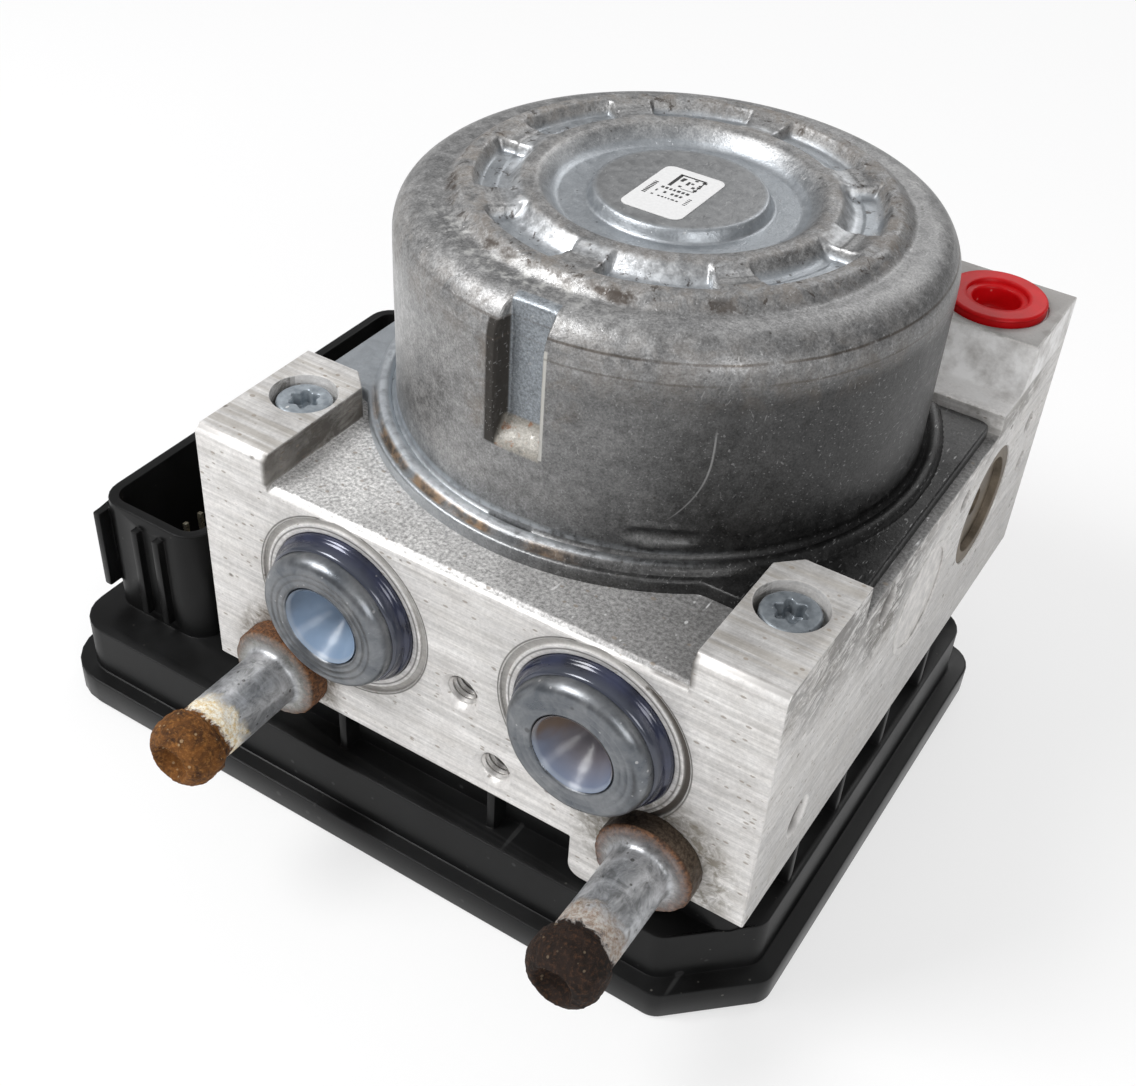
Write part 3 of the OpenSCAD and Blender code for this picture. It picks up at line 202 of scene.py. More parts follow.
class Look(Nodes):
    """A material: `colour` is the colour so far, to which coats and tones are added."""

    def __init__(self, name):
        self.name = name
        self.material = bpy.data.materials.new(name)
        self.material.use_nodes = True
        super().__init__(self.material.node_tree)
        self.shader = self.add("ShaderNodeBsdfPrincipled")
        out = self.add("ShaderNodeOutputMaterial")
        self.tree.links.new(self.shader.outputs[0], out.inputs[0])
        coords = Value(self, self.add("ShaderNodeTexCoord").outputs["Object"])
        self.place = self.shade(coords, 1 / MM)
        self.x, self.y, self.z = self.xyz(self.place)
        self.relief = None

    def shade(self, colour, factor):
        """The colour times a factor."""
        return self.made("ShaderNodeVectorMath", {0: colour, "Scale": factor}, operation="SCALE")

    def tone(self, factor, where=None):
        """Multiplies the colour by a factor, everywhere or under a mask."""
        self.colour = self.shade(self.colour, where.blend(1.0, factor) if where else factor)

    def coat(self, mask, colour):
        """Lays another colour over the colour so far."""
        self.colour = mask.mix(self.colour, colour)

    def stretch(self, size, stretch, turn):
        scale = tuple(s / size for s in stretch)
        return self.made("ShaderNodeMapping", {"Vector": self.place, "Scale": scale, "Rotation": turn})

    def noise(self, size, detail=3.0, rough=0.55, stretch=(1, 1, 1), warp=0.0, turn=(0, 0, 0)):
        """Fractal noise whose largest features are about `size` millimetres."""
        return self.made("ShaderNodeTexNoise", {"Vector": self.stretch(size, stretch, turn), "Scale": 1,
                                                "Detail": detail, "Roughness": rough, "Distortion": warp})

    def cells(self, size, output, feature="F1", stretch=(1, 1, 1), spread=1.0, turn=(0, 0, 0)):
        inputs = {"Vector": self.stretch(size, stretch, turn), "Scale": 1, "Randomness": spread}
        return self.made("ShaderNodeTexVoronoi", inputs, output, feature=feature)

    def specks(self, size, share, radius=0.25, stretch=(1, 1, 1), turn=(0, 0, 0)):
        """Separate grains on a grid of `size` millimetres; `share` of the cells hold one."""
        cell = self.cells(size, "Color", stretch=stretch, turn=turn)
        pick = self.add("ShaderNodeSeparateColor")
        self.put(pick.inputs[0], cell)
        choice, reach = (Value(self, pick.outputs[i]) for i in (0, 1))
        distance = Value(self, cell.socket.node.outputs["Distance"])
        return (reach * radius - distance).span(-0.03, 0.06) * self.math("LESS_THAN", choice, share)

    def scratches(self, size, share, turn, length):
        """Short straight marks along one direction."""
        return self.specks(size, share, 0.34, stretch=(1, length, 1), turn=turn)

    def box(self, low, high, soft):
        """1 inside a box in millimetres, falling to 0 over `soft` beyond it."""
        sides = [value.span(a - soft, a) * value.span(b + soft, b)
                 for value, a, b in zip((self.x, self.y, self.z), low, high)]
        return sides[0] * sides[1] * sides[2]

    def facing(self, axis):
        """1 where the true surface faces along the axis, 0 where it faces away."""
        normal = Value(self, self.add("ShaderNodeNewGeometry").outputs["True Normal"])
        return self.vector("DOT_PRODUCT", normal, axis, "Value")

    def distance(self, centre, flatten):
        """Distance from a point, with each axis scaled."""
        return self.length(self.vector("MULTIPLY", self.vector("SUBTRACT", self.place, centre), flatten))

    def near(self, centre, inner, outer, flatten=(1, 1, 1)):
        """1 within inner millimetres of a point, 0 beyond outer."""
        return self.distance(centre, flatten).span(outer, inner, smooth=True)

    def bump(self, height, distance, strength):
        """Adds relief: height 0..1 over `distance` millimetres."""
        inputs = {"Strength": strength, "Distance": distance * MM, "Height": height}
        if self.relief:
            inputs["Normal"] = self.relief
        self.relief = self.made("ShaderNodeBump", inputs)

    def finish(self, metal, rough, gain=COLOUR_GAIN, **extra):
        """Fills the shader's sockets; gives the look's name and its material."""
        self.tone(gain)
        inputs = {"Base Color": self.colour, "Metallic": metal, "Roughness": rough}
        inputs.update({key.replace("_", " "): value for key, value in extra.items()})
        if self.relief:
            inputs["Normal"] = self.relief
        for key, value in inputs.items():
            self.put(self.shader.inputs[key], value)
        return self.name, self.material


def grey(value, warm=0.0):
    """A grey of this linear value, warmer or cooler by a small share."""
    return (value * (1 + warm), value, value * (1 - warm))


def can_look():
    """Zinc-coated drawn steel: mottled, flecked, brown grime on the ridges, rust at the foot."""
    look = Look("motor_steel")
    x, y, z = look.x, look.y, look.z
    radius = look.length(look.vector("MULTIPLY", look.place, (1, 1, 0)))
    clouds = look.noise(8, 4, 0.6)
    mottle = look.noise(1.6, 3, 0.65)
    grain = look.noise(0.36, 3, 0.75)
    speck = look.noise(0.75, 2, 0.6, stretch=(1, 1, 0.55), warp=0.6)
    look.colour = clouds.span(0.36, 0.64).mix(grey(0.235, 0.0), grey(0.3, 0.005))
    look.tone(mottle.span(0.32, 0.7, 0.76, 1.26))
    look.tone(grain.span(0.3, 0.7, 0.64, 1.4))
    # Painted shade: the whole can darker to the right
    look.tone(x.span(12, 38, 1.0, 0.78))
    # Tone of each region: the top is silvery, with painted light on its left; painted shade darkens the side to
    # the right, and so does the flange
    top = z.span(101.5, 103.6)
    look.tone(x.span(0, -30, 1.0, 1.16), top)
    dish = top * (radius.span(21.5, 18.5) | z.span(CREST_Z - 1.4, CREST_Z - 2.2)) * radius.span(34, 32)
    look.coat(dish * 0.62, (0.38, 0.415, 0.45))
    hub = radius.span(13.2, 12.4) * top
    look.coat(hub * 0.8, look.shade(grey(0.26, 0.0), mottle.span(0.3, 0.7, 0.85, 1.15)))
    side = z.span(101, 96)
    # Painted light on the side's left and painted shade on its right
    across = x.span(-36, 36)
    painted_side_shade = (1.0 - across * 0.73) ** 1.35
    painted_side_shade = painted_side_shade * 1.37
    look.tone(painted_side_shade, side * y.span(30, 10))
    # Painted light on the flange's left, painted shade on its right
    plate = z.span(71.6, 71.0)
    look.coat(plate * x.span(10, -30) * 0.85, (0.38, 0.41, 0.44))
    look.tone(x.span(-5, 40, 1.0, 0.56), plate)
    # Painted light on the pockets' inner slopes, at the front and back
    painted_slope_light = radius.within(23.6, 24.4, 26.2, 27.4) * top * abs(y + x * 0.5).span(6, 16)
    look.coat(painted_slope_light * 0.6, look.shade((0.62, 0.64, 0.66), mottle.span(0.35, 0.62, 0.55, 1.1)))
    # Brown grime on the outer ridge, on the bridges and round the shoulder
    patches = look.noise(4, 4, 0.7, warp=0.7).span(0.42, 0.6)
    fine_patches = look.noise(1.3, 4, 0.75, warp=0.5).span(0.4, 0.62)
    patches = patches * fine_patches.blend(0.55, 1.0)
    ridge = radius.within(28.5, 31.5, 33.5, 35.2) * top
    bridge = radius.within(23.5, 25, 33, 35) * z.span(CREST_Z - 0.6, CREST_Z - 0.2)
    inner = radius.within(20.5, 22.5, 24, 25) * z.span(CREST_Z - 0.8, CREST_Z - 0.2) * 0.6
    shoulder = radius.span(38.5, 41) * z.span(94, 99) * y.span(8, -28) * 0.5
    band = radius.span(41.5, 42.3) * z.span(94, 98) * z.span(102, 100) * y.span(10, -20) * 0.6
    groove = look.box((-8.5, -44, 84), (-5.6, -36, 101), 1.6) * 0.9
    groove = groove | look.box((3.9, -44, 90), (8, -36, 100), 2.2) * 0.7
    grime = (ridge | bridge | inner | shoulder | band | groove) * patches
    look.coat(grime * 0.7, (0.115, 0.092, 0.07))
    # Painted shade on the left flank, pitted floor and rusty seat of the pressed groove
    shaded_flank = look.box((-5.5, -44, 82.2), (-3.5, -38.8, 101.5), 0.35) * mottle.span(0.1, 0.45, 0.72, 1.0)
    look.coat(shaded_flank * 0.97, (0.016, 0.013, 0.01))
    well = look.box((-3.4, -40.4, 86.0), (3.3, -38.0, 105), 0.25)
    look.coat(well * 0.85, look.shade((0.25, 0.275, 0.3), grain.span(0.3, 0.7, 0.55, 1.35)))
    # Painted highlight along the groove's right edge
    look.coat(look.box((3.5, -43.5, 82.5), (4.1, -39.9, 100), 0.15) * 0.85, (0.5, 0.49, 0.46))
    seat = look.box((-3.5, -44, 82.2), (3.6, -38.9, 85.7), 0.4) * mottle.span(0.26, 0.4)
    rusty = mottle.span(0.56, 0.66)
    look.coat(seat * 0.9, rusty.mix(look.shade((0.25, 0.235, 0.205), grain.span(0.3, 0.7, 0.7, 1.3)),
                                    (0.2, 0.1, 0.05)))
    # Black-brown rust in short arcs at the foot of the outer ridge, and blots between the pockets
    foot = radius.within(32.8, 33.6, 34.6, 35.4) * top
    arcs = clouds.span(0.53, 0.6) * mottle.span(0.36, 0.5)
    foot = foot * arcs * (x * 0.6 + y).span(4, -18)
    blots = (look.noise(2.2, 4, 0.72, warp=0.5).span(0.6, 0.66) * radius.span(23, 25) * radius.span(35.5, 34)
             * top)
    foot = foot | blots * 0.85
    look.coat(foot * 0.88, (0.04, 0.028, 0.02))
    # Painted highlight, in patches, on the ridges' edges and the front left of the rim
    wear_and_sheen = mottle.span(0.48, 0.64)
    painted_rim_highlight = radius.within(33.8, 35.2, 37, 38.6) * look.near((-12, -36, 105), 10, 24) * wear_and_sheen
    look.coat(painted_rim_highlight * 0.75, (0.62, 0.62, 0.6))
    # Seams left by the drawing tool round the top of the side
    for height, dark in ((101.7, 0.7), (98.9, 0.45)):
        wander = (clouds - 0.5) * 0.4
        away = abs(z + wander - height)
        seam = away.span(0.24, 0.08) * radius.span(39, 40) * clouds.span(0.32, 0.48) * x.span(-30, 5) * dark
        look.coat(seam, (0.06, 0.045, 0.033))
    # Rust-tan line in the crease outside the bead, a painted highlight along its crest
    crease = (radius.within(45.5, 45.9, 46.5, 46.9) * plate * clouds.span(0.4, 0.54)
              * y.span(-25, -36) * x.span(14, 4))
    look.coat(crease * 0.8, mottle.span(0.4, 0.6).mix((0.1, 0.07, 0.045), (0.34, 0.22, 0.12)))
    crest = z.span(FLANGE_Z + 1.05, FLANGE_Z + 1.22) * plate * mottle.span(0.3, 0.55) * x.span(30, 5)
    look.coat(crest * 0.6, (0.62, 0.65, 0.68))
    # White flecks, short scratches, dark pits
    flecks = speck.span(0.665, 0.72)
    look.coat(flecks * top.blend(0.26, 0.45), grey(0.5))
    for turn, share in (((0.2, 0.4, 0.6), 0.24), ((0.7, 1.2, 1.2), 0.20)):
        look.coat(look.scratches(0.34, share, turn, 0.18) * 0.24, grey(0.48))
    look.coat(look.specks(2.0, 0.22, 0.13, turn=(0.9, 0.1, 0.3)) * 0.75, (0.05, 0.045, 0.04))
    # Faint curved scratch low on the front
    bow = look.math("MAXIMUM", 91.0 - z, 0.0) ** 3.0 * 0.0015
    away = abs(x + bow - 26.0)
    look.coat(away.span(0.16, 0.06) * z.span(76.5, 78) * z.span(92.5, 90) * y.span(-20, -24) * 0.55, grey(0.42))
    rough = mottle.span(0.3, 0.7).blend(0.34, 0.5)
    rough = (grime | shaded_flank).blend(rough, 0.78)
    metal = (grime | seat | shaded_flank).blend(0.85, 0.08)
    look.bump(clouds, 0.3, 0.35)
    look.bump(mottle, 0.12, 0.6)
    look.bump(grain, 0.04, 0.7)
    look.bump(flecks, 0.05, 0.5)
    return look.finish(metal, rough)


def block_look():
    """Milled aluminium: bright, with cutter lines, brown specks, grime and scuffs."""
    look = Look("block_aluminium")
    x, y, z = look.x, look.y, look.z
    front = abs(look.facing((0, -1, 0))).span(0.8, 0.95)
    side = abs(look.facing((1, 0, 0))).span(0.8, 0.95)
    up = look.facing((0, 0, 1)).span(0.8, 0.95)
    floor = up * z.span(68.6, 67.6) * z.span(66, 66.6)
    pad = up * z.span(72.2, 72.7) * y.span(-20, -27)
    mottle = look.noise(5, 4, 0.62)
    fine = look.noise(0.6, 3, 0.75)
    lines = look.noise(0.7, 3, 0.65, stretch=(0.035, 1, 1))
    bands = look.noise(1.5, 3, 0.6, stretch=(0.035, 1, 1), warp=0.15)
    side_lines = look.noise(0.7, 3, 0.65, stretch=(1, 0.06, 1), turn=(0.28, 0, 0))
    look.colour = mottle.span(0.32, 0.68).mix(grey(0.57, 0.028), grey(0.7, 0.018))
    look.tone(fine.span(0.3, 0.72, 0.86, 1.1))
    # Painted shade: the right pad's top darker
    look.tone(0.86, up * x.span(10, 40) * y.span(-20, -27))
    milled = front.blend(pad.blend(1.0, lines.span(0.35, 0.7, 0.8, 1.1)), lines.span(0.36, 0.68, 0.8, 1.12))
    look.tone(milled)
    look.coat(bands.span(0.44, 0.62) * (pad | front * 0.22) * 0.52, (0.34, 0.31, 0.265))
    look.tone(side_lines.span(0.36, 0.68, 0.8, 1.08), side)
    cloud = look.noise(8, 4, 0.7, warp=0.5)
    look.tone(cloud.span(0.35, 0.65, 0.84, 1.1), side)
    # Painted shade: the side faces darker towards the bottom
    look.tone(z.span(32, 58, 0.78, 1.0), side)
    # The recessed floor is a speckled grey, with painted shade darkening it to the right
    recess = look.shade(grey(0.56, 0.012), fine.span(0.36, 0.66, 0.5, 1.42))
    recess = look.shade(recess, mottle.span(0.35, 0.65, 0.85, 1.08))
    recess_shade = x.span(-42, 34) ** 1.5
    recess = look.shade(recess, recess_shade.blend(1.06, 0.32))
    wear_and_sheen = look.specks(1.1, 0.3, 0.26, stretch=(1, 0.7, 1)) * x.span(0, 25)
    recess = (wear_and_sheen * 0.7).mix(recess, grey(0.75))
    recess = (look.specks(1.7, 0.25, 0.22, turn=(0, 0, 0.7)) * 0.6).mix(recess, grey(0.09, 0.05))
    slant = look.facing((0, -0.7071, 0.7071)).span(0.93, 0.98)
    upper = slant * z.span(66.5, 66.7) * z.span(67.4, 67.2)
    look.coat((floor | upper) * 0.95, recess)
    look.coat(slant * z.span(72.1, 72.3) * 0.8, grey(0.36, 0.03))
    for turn, low in (((0, 0, 1.15), 0.5), ((0, 0, 1.45), 0.54)):
        marks = look.scratches(1.0, 0.3, turn, 0.1) * cloud.span(low - 0.04, low + 0.08) * floor * x.span(-5, 8)
        look.coat(marks * 0.8, grey(0.8))
    # Inner sides of the pads and the step down to the recess are in shade and stained
    inner = (abs(x).span(37.2, 36.4) * z.span(67.0, 67.6) * z.span(72.9, 72.4) * y.span(-27.5, -28.5)
             * (1.0 - up))
    look.coat(inner * 0.85, mottle.span(0.4, 0.6).mix((0.04, 0.034, 0.027), (0.11, 0.1, 0.085)))
    # Brown specks, denser towards the outside edges and on the right face
    heavy = look.math("ADD", 0.32, mottle.span(0.45, 0.7, 0, 0.3))
    heavy = heavy + x.span(30, 50, 0, 0.22)
    specks = look.specks(0.75, heavy, 0.3, stretch=(0.45, 0.6, 1))
    look.coat(specks * 0.68, (0.19, 0.155, 0.118))
    drawn = look.specks(0.85, 0.42, 0.3, stretch=(1, 0.3, 1), turn=(0.75, 0, 0)) * side
    look.coat(drawn * 0.7, (0.115, 0.09, 0.065))
    big = look.specks(2.6, 0.24, 0.17, stretch=(0.7, 0.8, 1), turn=(0.2, 0.1, 0))
    look.coat(big * 0.75, (0.11, 0.085, 0.06))
    # Scuffs and dirt along the right top edge and round the drain hole
    streaks = look.noise(1.8, 4, 0.74, stretch=(1, 0.35, 0.8), turn=(0.9, 0, 0), warp=0.9)
    edge = z.span(54, 65) * y.span(-54, -44) * y.span(6, -6) * 0.85
    scuff = edge | look.near((50, -18.6, 61), 4, 11, (0.3, 0.8, 1.0))
    rim = z.span(62, 66.5) * y.span(52, 40) * 0.6
    scuff = (scuff | rim) * side * streaks.span(0.4, 0.54)
    look.coat(scuff * 0.88, (0.05, 0.042, 0.034))
    look.coat(side * cloud.span(0.48, 0.64) * 0.3, (0.26, 0.245, 0.22))
    # Green-brown dirt rings round the studs
    blots = look.noise(2.2, 4, 0.75, warp=0.7).span(0.38, 0.6)
    dirt = (look.near((-STUD_X, FRONT_Y, STUD_Z), 8.4, 12.5, (1, 1, 0.9))
            | look.near((STUD_X, FRONT_Y, STUD_Z), 8.4, 14.0, (0.85, 1, 0.9)))
    dirt = dirt * front * blots
    look.coat(dirt * 0.85, (0.13, 0.112, 0.08))
    # Painted shade inside the holes and the grooves round the caps, and thin dark lines painted at the grooves'
    # edges
    for hx, hz in BRACKET_HOLES:
        deep = (look.near((hx, FRONT_Y, hz), 3.4, 3.9, (1, 0, 1)) * y.span(FRONT_Y + 2.5, FRONT_Y + 6.0)
                * y.span(0, -10))
        look.coat(deep * 0.9, (0.035, 0.032, 0.028))
    for side_x in (-CAP_X, CAP_X):
        away = look.distance((side_x, 0, CAP_Z), (1, 0, 1))
        ring = (away.within(14.6, 14.9, 15.8, 16.1) * y.span(FRONT_Y + 0.15, FRONT_Y + 0.5)
                * y.span(FRONT_Y + 4, FRONT_Y + 3))
        look.coat(ring * 0.6, (0.16, 0.15, 0.135))
        for line in (14.25, 16.15):
            thin = abs(away - line).span(0.2, 0.06) * front * y.span(FRONT_Y + 0.6, FRONT_Y + 0.3)
            look.coat(thin * 0.85, (0.09, 0.085, 0.075))
        look.coat(away.span(15.0, 14.6) * y.span(-54, -56) * front * 0.25, (0.4, 0.4, 0.42))
    # Painted shade low at the recess's right end, below its floor
    deep = x.within(49.7, 48.6, 31, 30) * z.span(66.9, 66.4) * abs(y).span(54.8, 54.5)
    look.coat(deep * 0.9, (0.05, 0.04, 0.032))
    # Stained rear ledge with painted light on its top, its dark speckled front, dull top of the rear rib
    ledge = y.span(24, 26) * z.span(66, 68) * y.span(50, 48)
    look.coat(ledge * up * 0.8, look.shade(grey(0.84, 0.02), fine.span(0.34, 0.66, 0.72, 1.0)))
    look.coat(ledge * mottle.span(0.48, 0.58) * 0.5, (0.2, 0.185, 0.165))
    look.coat(up * z.span(78.4, 79) * 0.8, grey(0.16, 0.05))
    # Painted light: the cove behind the can is made pale, with blotches
    cove = y.span(25.8, 28) * z.span(70.5, 71.2) * z.span(79, 78.6)
    blotch = mottle.span(0.36, 0.6)
    look.coat(cove * 0.9, blotch.mix(grey(0.46, 0.03), grey(0.84, 0.005)))
    rough = mottle.span(0.3, 0.7).blend(0.4, 0.54)
    rough = floor.blend(rough, 0.58)
    grimy = specks | scuff | dirt | inner * 0.7
    metal = (grimy | cove | ledge * up).blend(0.45, 0.05)
    look.bump(mottle, 0.12, 0.3)
    look.bump(bands * (pad | front * 0.4), 0.14, 0.8)
    look.bump(lines * (pad | front), 0.05, 0.7)
    look.bump(side_lines * side, 0.08, 0.7)
    look.bump(fine, 0.05, 0.5)
    look.bump(big * -1.0, 0.25, 0.8)
    return look.finish(metal, rough)


def plastic_look():
    """Glass-filled black plastic: fine grain, dust, light scuffs."""
    look = Look("black_plastic")
    level = 0.0034
    grain = look.noise(0.5, 3, 0.7)
    clouds = look.noise(14, 3, 0.55)
    look.colour = clouds.span(0.35, 0.7).mix(grey(level), grey(level * 2.2, -0.03))
    near = look.y.span(-35, -52) * look.x.span(10, 40)
    look.coat(look.specks(1.3, 0.1, 0.2) * near.blend(0.25, 1.0) * 0.35, (0.2, 0.19, 0.17))
    look.coat(look.scratches(1.8, 0.06, (0.1, 0.2, 0.9), 0.1) * 0.25, grey(0.08))
    look.bump(grain, 0.02, 0.35)
    look.bump(clouds, 0.2, 0.1)
    return look.finish(0.0, clouds.span(0.3, 0.7).blend(0.28, 0.42), Specular_IOR_Level=0.22)


def steel_look(name, colour, rough_low, rough_high, dark=0.5, size=1.0, metal=0.85):
    """Plain metal with mottle, small pits and nicks."""
    look = Look(name)
    mottle = look.noise(3 * size, 5, 0.65)
    fine = look.noise(0.6 * size, 4, 0.7)
    darker = {share: tuple(c * share for c in colour) for share in (dark, 0.45, 0.2)}
    look.colour = mottle.span(0.36, 0.68).mix(darker[dark], colour)
    look.coat(fine.span(0.55, 0.8, 0, 0.5), darker[0.45])
    look.coat(look.specks(1.4 * size, 0.2, 0.2) * 0.6, darker[0.2])
    look.coat(look.scratches(size, 0.12, (0.5, 0.8, 0.3), 0.25) * 0.5, tuple(min(c * 1.8, 0.8) for c in colour))
    look.bump(mottle, 0.12, 0.3)
    look.bump(fine, 0.03, 0.5)
    return look.finish(metal, mottle.span(0.3, 0.7).blend(rough_low, rough_high))


def cap_look():
    """Smoky blue-grey zinc on the reservoir caps, with worn pale patches."""
    look = Look("cap_steel")
    mottle = look.noise(4.5, 4, 0.62, warp=0.4)
    fine = look.noise(0.8, 3, 0.7)
    look.colour = mottle.span(0.34, 0.68).mix((0.105, 0.115, 0.128), (0.225, 0.233, 0.242))
    look.coat(fine.span(0.5, 0.8, 0, 0.4), (0.1, 0.11, 0.13))
    # Painted shade on the cap's side towards the block
    look.coat(look.y.span(-59.2, -56.5) * 0.35, (0.12, 0.125, 0.14))
    look.coat(look.specks(1.2, 0.22, 0.26) * 0.5, grey(0.55))
    look.coat(look.specks(2.4, 0.3, 0.22, turn=(0.4, 0, 0.7)) * 0.6, grey(0.06))
    look.bump(mottle, 0.22, 0.4)
    look.bump(fine, 0.04, 0.5)
    return look.finish(0.88, mottle.span(0.3, 0.7).blend(0.26, 0.44))


def band_look():
    """Dark violet-blue band behind each cap, glossy."""
    look = Look("band_indigo")
    look.colour = look.noise(5, 3, 0.5).span(0.35, 0.7).mix((0.01, 0.012, 0.022), (0.028, 0.033, 0.066))
    look.coat(look.y.span(FRONT_Y - 1.2, FRONT_Y - 2.4, 0, 0.8), (0.05, 0.056, 0.074))
    look.coat(look.specks(1.5, 0.15, 0.14) * 0.5, grey(0.35))
    look.bump(look.noise(1.5, 3, 0.5), 0.03, 0.3)
    return look.finish(0.25, 0.16, Specular_IOR_Level=0.7)


def funnel_look(name, lower, upper, deep, stain):
    """Milky translucent plastic with painted shade in its upper half, painted light and reflection deep in the
    cone, and one small stain.
    """
    look = Look(name)
    clouds = look.noise(4, 3, 0.5, warp=0.8)
    # Painted shade in the upper half, its edge made ragged
    height = look.z + (clouds - 0.5) * 3.0
    look.colour = height.span(CAP_Z - 2.5, CAP_Z + 1.2, smooth=True).mix(lower, upper)
    # Painted light and reflection deep in the cone
    look.coat(look.y.span(-60.4, -56.0) * 0.55, deep)
    look.coat(abs(look.y - -60.2).span(0.5, 0.1, 0, 0.45), (0.26, 0.29, 0.33))
    look.coat(look.near(stain, 0.25, 0.6), (0.03, 0.03, 0.035))
    look.bump(clouds, 0.12, 0.3)
    return look.finish(0.0, 0.27, Specular_IOR_Level=0.42)


def stud_look(name, side, rust, chips, pale, pale_share, face):
    """Zinc-plated stud: rusted head, rust on the flange's rim, corrosion beside the head."""
    look = Look(name)
    y = look.y
    radius = look.distance((side * STUD_X, 0, STUD_Z), (1, 0, 1))
    ragged = look.noise(3.2, 4, 0.72, warp=0.6)
    fine = look.noise(0.6, 4, 0.75)
    zinc = ragged.span(0.36, 0.66).mix((0.19, 0.195, 0.2), (0.5, 0.51, 0.53))
    zinc = look.noise(1.0, 3, 0.7, stretch=(1, 0.3, 1)).span(0.5, 0.75, 0, 0.6).mix(zinc, (0.62, 0.63, 0.65))
    zinc = (look.specks(1.1, 0.25, 0.3) * 0.7).mix(zinc, (0.05, 0.045, 0.04))
    rusted = ragged.span(0.34, 0.6).mix(*rust[:2])
    rusted = fine.span(0.5, 0.72, 0, 0.75).mix(rusted, rust[2])
    rusted = (look.specks(1.0, 0.3, 0.3, turn=(0.5, 0, 0)) * 0.5).mix(rusted, chips)
    along = y + (ragged - 0.5) * 7.0
    head_y = FRONT_Y - STUD_OUT + 7.4
    head = along.span(head_y + 0.9, head_y + 0.1)
    look.colour = head.mix(zinc, rusted)
    patch = along.span(head_y + 4.6, head_y + 2.4) * along.span(head_y - 0.3, head_y + 0.6)
    patch = patch * (1.0 - head) * radius.span(5.6, 5.2)
    look.coat(patch * pale_share, fine.span(0.4, 0.6).mix(*pale))
    # Flange: rusty rim, dull face
    flange = y.span(FRONT_Y - 4.6, FRONT_Y - 3.4)
    look.coat(flange * radius.span(5.0, 5.8), fine.span(0.4, 0.65).mix(*face))
    edge = flange * (radius + (ragged - 0.5) * 4.0).span(6.2, 7.1)
    if side > 0:
        edge = edge * y.span(FRONT_Y - 3.0, FRONT_Y - 3.6)
    look.coat(edge * 0.95, fine.span(0.4, 0.66).mix((0.04, 0.018, 0.01), (0.2, 0.08, 0.028)))
    rusty = head | (edge | patch)
    look.bump(ragged, 0.5, 0.35)
    look.bump(fine * rusty, 0.25, 0.9)
    look.bump(fine, 0.05, 0.5)
    return look.finish(rusty.blend(0.75, 0.0), rusty.blend(0.42, 0.82), Specular_IOR_Level=0.25)


def screw_look():
    """Blue-grey zinc screw head with bright nicks."""
    look = Look("screw_zinc")
    mottle = look.noise(1.6, 4, 0.65)
    look.colour = mottle.span(0.35, 0.68).mix((0.19, 0.215, 0.24), (0.33, 0.365, 0.395))
    # Painted shade: the right screw darker than the left
    look.tone(look.x.span(-20, 20, 1.12, 0.72))
    look.coat(look.specks(1.0, 0.3, 0.28, stretch=(1, 0.6, 1)) * 0.75, grey(0.72))
    look.coat(look.specks(0.8, 0.25, 0.22, turn=(0, 0, 0.6)) * 0.7, grey(0.04))
    look.bump(mottle, 0.08, 0.5)
    return look.finish(0.5, mottle.span(0.3, 0.7).blend(0.36, 0.52))


def red_look():
    """Bright red moulded plastic plug."""
    look = Look("plug_red")
    clouds = look.noise(4, 3, 0.5)
    look.colour = clouds.span(0.3, 0.7).mix((0.41, 0.0015, 0.003), (0.52, 0.003, 0.006))
    look.coat(look.specks(1.6, 0.12, 0.16) * 0.5, (0.75, 0.35, 0.33))
    look.bump(look.noise(0.6, 3, 0.6), 0.02, 0.35)
    look.bump(clouds, 0.15, 0.2)
    return look.finish(0.0, 0.4, Specular_IOR_Level=0.22)


def label_look():
    """White film with faint fibre and lifted edges."""
    look = Look("label_paper")
    fibre = look.noise(0.5, 3, 0.7)
    look.colour = fibre.span(0.4, 0.7).mix(grey(0.7), grey(0.76))
    look.bump(fibre, 0.01, 0.3)
    return look.finish(0.0, 0.62, gain=1.0, Specular_IOR_Level=0.15)


def ink_look():
    """Dull black print."""
    look = Look("label_ink")
    wear = look.noise(0.25, 3, 0.7)
    look.colour = wear.span(0.55, 0.75, 0, 0.5).mix(grey(0.02), grey(0.12))
    look.bump(wear, 0.004, 0.3)
    return look.finish(0.0, 0.5)


def rubber_look():
    """Black rubber."""
    look = Look("seal_rubber")
    fine = look.noise(0.5, 3, 0.7)
    look.colour = fine.span(0.35, 0.7).mix(grey(0.012), grey(0.03))
    look.bump(fine, 0.03, 0.5)
    return look.finish(0.0, 0.62)


def laminated_look():
    """Stacked sheet steel: thin dark lines along the height."""
    look = Look("core_steel")
    wave = look.math("SINE", look.z * (2 * math.pi / 0.5))
    look.colour = wave.span(0.4, 0.9).mix(grey(0.3), grey(0.1))
    look.coat(look.noise(2, 3).span(0.5, 0.7, 0, 0.5), (0.22, 0.16, 0.11))
    look.bump(wave, 0.03, 0.6)
    return look.finish(0.8, 0.45)


def winding_look():
    """Enamelled copper wire laid in coils: fine ridges."""
    look = Look("winding_copper")
    wave = look.math("SINE", look.z * (2 * math.pi / 0.7))
    look.colour = look.noise(3, 3).span(0.35, 0.65).mix((0.4, 0.13, 0.04), (0.62, 0.26, 0.09))
    look.coat(wave.span(-0.6, -1.0), (0.1, 0.03, 0.012))
    look.bump(wave, 0.15, 0.8)
    return look.finish(0.85, 0.32)


def board_look():
    """Green solder mask with faint tracks beneath it."""
    look = Look("board_green")
    tracks = look.cells(3.0, "Distance", feature="DISTANCE_TO_EDGE", spread=0.35).span(0.1, 0.06)
    look.colour = tracks.mix((0.008, 0.075, 0.03), (0.02, 0.16, 0.06))
    look.bump(tracks, 0.03, 0.5)
    return look.finish(0.0, 0.28)


